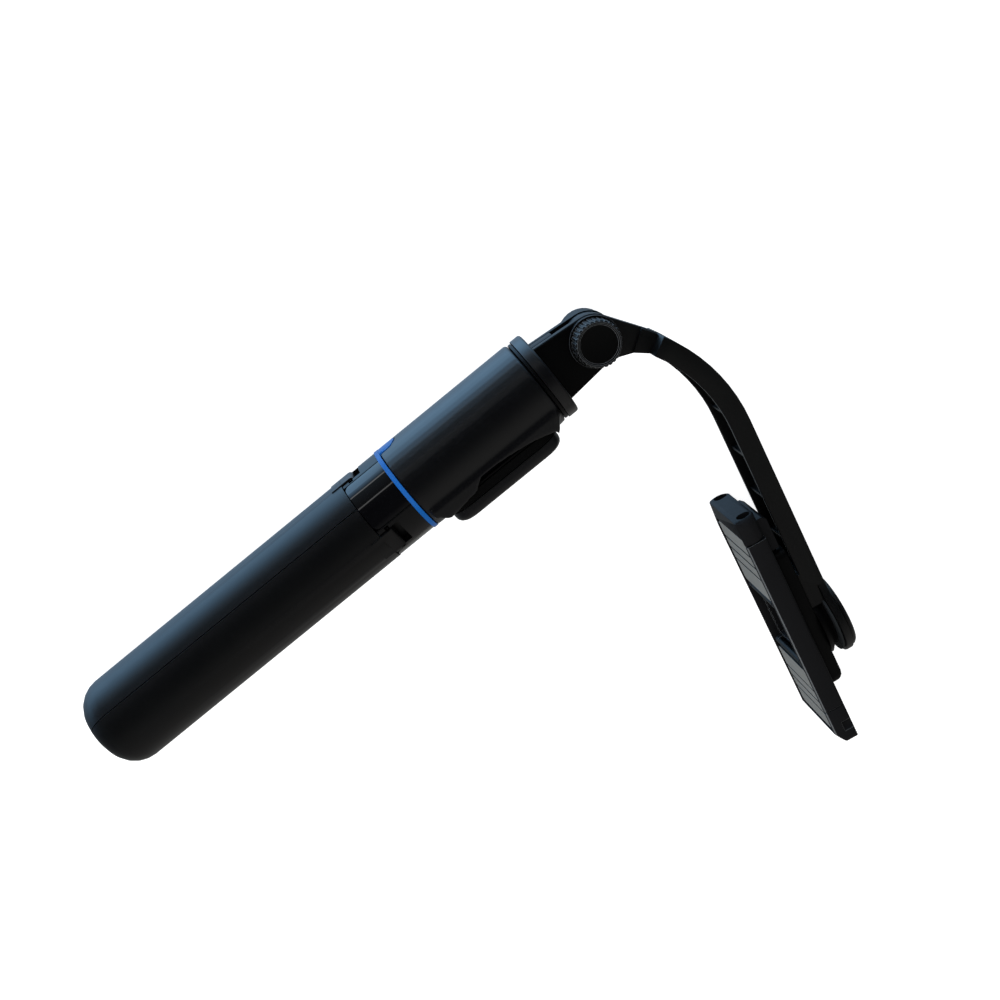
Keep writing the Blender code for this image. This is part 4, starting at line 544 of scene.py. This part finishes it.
def paint_groove_shade(piece):
    """Paints shade on a pad: every face below its front face or not facing the front takes the darker rubber, as
    painted shade in the grooves and along the pad's sides.
    """
    piece.data.materials.append(DARK_SILICONE_AND_GROOVE_SHADE)
    front = min((vert.co - SWIVEL_AXIS).dot(BEHIND_CLAMP) for vert in piece.data.vertices)
    for face in piece.data.polygons:
        depth = (face.center - SWIVEL_AXIS).dot(BEHIND_CLAMP) - front
        face.material_index = int(depth > SEAM or abs(face.normal.dot(BEHIND_CLAMP)) < FACING_FRONT)


def paint_front_edge_highlight(piece):
    """Paints a highlight on the clamp's round front edges, in the lighter plastic."""
    for face in piece.data.polygons:
        forward = -face.normal.dot(BEHIND_CLAMP)
        leans = HIGHLIGHT_LEAN[0] < forward < HIGHLIGHT_LEAN[1]
        if leans and abs(face.normal.z) > HIGHLIGHT_SIDEWAYS:
            face.material_index = 1


WEB_INNER = 14.6 * MM
WEB_OUTER = 34 * MM
WEB_PLAY = 0.45 * MM  # between the web and the clamp's back cover
WEB_SHIFT = 0.66 * MM  # of the web's centre from the swivel axis, up the clamp
WEB_TURN = 100  # degrees
WEB_STEPS = 40
WEB_CUT = 25 * MM  # from the centre, where the web ends square
WEB_LOW, WEB_HIGH = 6.7 * MM, 27.6 * MM  # the inner faces of the arm's walls


def make_arm_web():
    """The web that joins the arm's two walls round the swivel hub."""
    low = reach("clamp_back_cover", BEHIND_CLAMP)[1] + WEB_PLAY
    high = reach("swivel_washer", BEHIND_CLAMP)[1]
    bm = bmesh.new()
    centre = SWIVEL_AXIS + ALONG_CLAMP * WEB_SHIFT
    corners = ((WEB_INNER, low), (WEB_OUTER, low), (WEB_OUTER, high), (WEB_INNER, high))
    section = bm.faces.new([
        bm.verts.new(centre + ALONG_CLAMP * radius + BEHIND_CLAMP * depth)
        for radius, depth in corners
    ])
    back = Matrix.Rotation(math.radians(-WEB_TURN / 2), 3, BEHIND_CLAMP)
    bmesh.ops.rotate(bm, verts=bm.verts, cent=centre, matrix=back)
    bmesh.ops.spin(
        bm, geom=[section, *section.edges, *section.verts], cent=centre, axis=BEHIND_CLAMP,
        angle=math.radians(WEB_TURN), steps=WEB_STEPS, use_merge=False,
    )
    bmesh.ops.remove_doubles(bm, verts=bm.verts, dist=WELD)
    bmesh.ops.recalc_face_normals(bm, faces=bm.faces)
    trim(bm, centre + ALONG_CLAMP * WEB_CUT, ALONG_CLAMP)
    trim(bm, Vector((0, 0, WEB_HIGH)), Vector((0, 0, 1)))
    trim(bm, Vector((0, 0, WEB_LOW)), Vector((0, 0, -1)))
    bmesh.ops.recalc_face_normals(bm, faces=bm.faces)
    new_piece("arm_web", bm, FILLED_NYLON, "arm")


def relax(piece, inside, passes):
    """Relaxes the part of a finished skin that a test picks."""
    depsgraph = bpy.context.evaluated_depsgraph_get()
    even = bpy.data.meshes.new_from_object(piece.evaluated_get(depsgraph))
    piece.modifiers.clear()
    piece.data = even
    chosen = piece.vertex_groups.new(name="crease")
    chosen.add([vert.index for vert in even.vertices if inside(vert.co)], 1, "REPLACE")
    relaxed = piece.modifiers.new("relaxed", "SMOOTH")
    relaxed.factor = HALFWAY
    relaxed.iterations = passes
    relaxed.vertex_group = chosen.name


CREASE_SIDE = 13.2 * MM  # from the stick's middle plane out to the pocket's flat sides
CREASE_REACH = (-5 * MM, 8.5 * MM)  # of those sides, away from the axis towards the remote
LIP_REACH = 8 * MM  # from which the upper lip rises
LIP_START = REMOTE_END + 0.6 * MM
CREASE_ENDS = (GRIP_START + 3 * MM, GRIP_END - 0.6 * MM)
CREASE_PASSES = 60
GRIP_CELL = 0.45 * MM
GRIP_PASSES = 6


def near_crease(place):
    """Where the pocket's flat sides leave the round grip, and the rise of its upper lip."""
    side = abs(place.z - MID_HEIGHT)
    out = STICK_Y - place.y
    beside = side > CREASE_SIDE and CREASE_REACH[0] < out < CREASE_REACH[1]
    lip = place.x > LIP_START and out > LIP_REACH
    return (beside or lip) and CREASE_ENDS[0] < place.x < CREASE_ENDS[1]


def raise_hub(bm):
    """Carries the hub up to the ring, which sits higher than its solid."""
    lift(bm, HUB_END, RING_BOTTOM - SEAM)


def raise_grip(bm):
    """Starts the grip above the ring."""
    lift(bm, GRIP_START, RING_TOP + SEAM)


# Radius of each piece's softened edges, in millimetres.
EDGES = {
    "leg_1": 0.2, "leg_2": 0.2, "leg_3": 0.2, "leg_hub": 0.15, "trim_ring": 0.15,
    "hub_window_1": 0.2, "hub_window_2": 0.2, "hub_window_3": 0.2, "remote_base": 0.15,
    "collar": 0.12, "yoke": 0.2, "knob": 0.18, "arm": 0.12, "clamp_body": 0.25,
    "lower_end_cap": 0.15, "slide_jaw": 0.12, "upper_flap": 0.15, "lower_flap": 0.15,
    "upper_flap_pad": 0.12, "lower_flap_pad": 0.12,
}
RESHAPES = {
    "trim_ring": shift_ring, "slide_jaw": round_jaw, "leg_hub": raise_hub,
    "hub_window_1": round_window, "hub_window_2": round_window, "hub_window_3": round_window,
}


def dress_all():
    for node in NODES:
        if node == "grip_housing":
            grip = melt(node, GRIP_CELL, GRIP_PASSES, raise_grip)
            relax(grip, near_crease, CREASE_PASSES)
            continue
        piece = dress(node, EDGES.get(node, 0) * MM, reshape=RESHAPES.get(node))
        if node in PADS:
            # painted shade in the pads' grooves and along their sides
            paint_groove_shade(piece)
        # painted highlight on the clamp's front edges
        if node in ("clamp_body", "lower_end_cap"):
            paint_front_edge_highlight(piece)


def squash_springs():
    for spring in ("spring_1", "spring_2"):
        skin = bpy.data.objects[f"{spring}_skin"]
        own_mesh(skin)


def main():
    place_camera()
    make_floor()
    make_world()
    place_softbox("overhead_softbox", (-0.1, 0.1, 1.0), (1.2, 1.0), 9)
    place_softbox("side_softbox", (0.05, 0.75, 0.30), (1.0, 0.40), 5, "#dbe9ff")
    place_softbox("front_softbox", (-0.65, -0.15, 0.40), (0.6, 0.5), 4)
    dress_all()
    make_arm_web()
    squash_springs()

    bpy.context.scene.view_settings.view_transform = "Standard"


main()
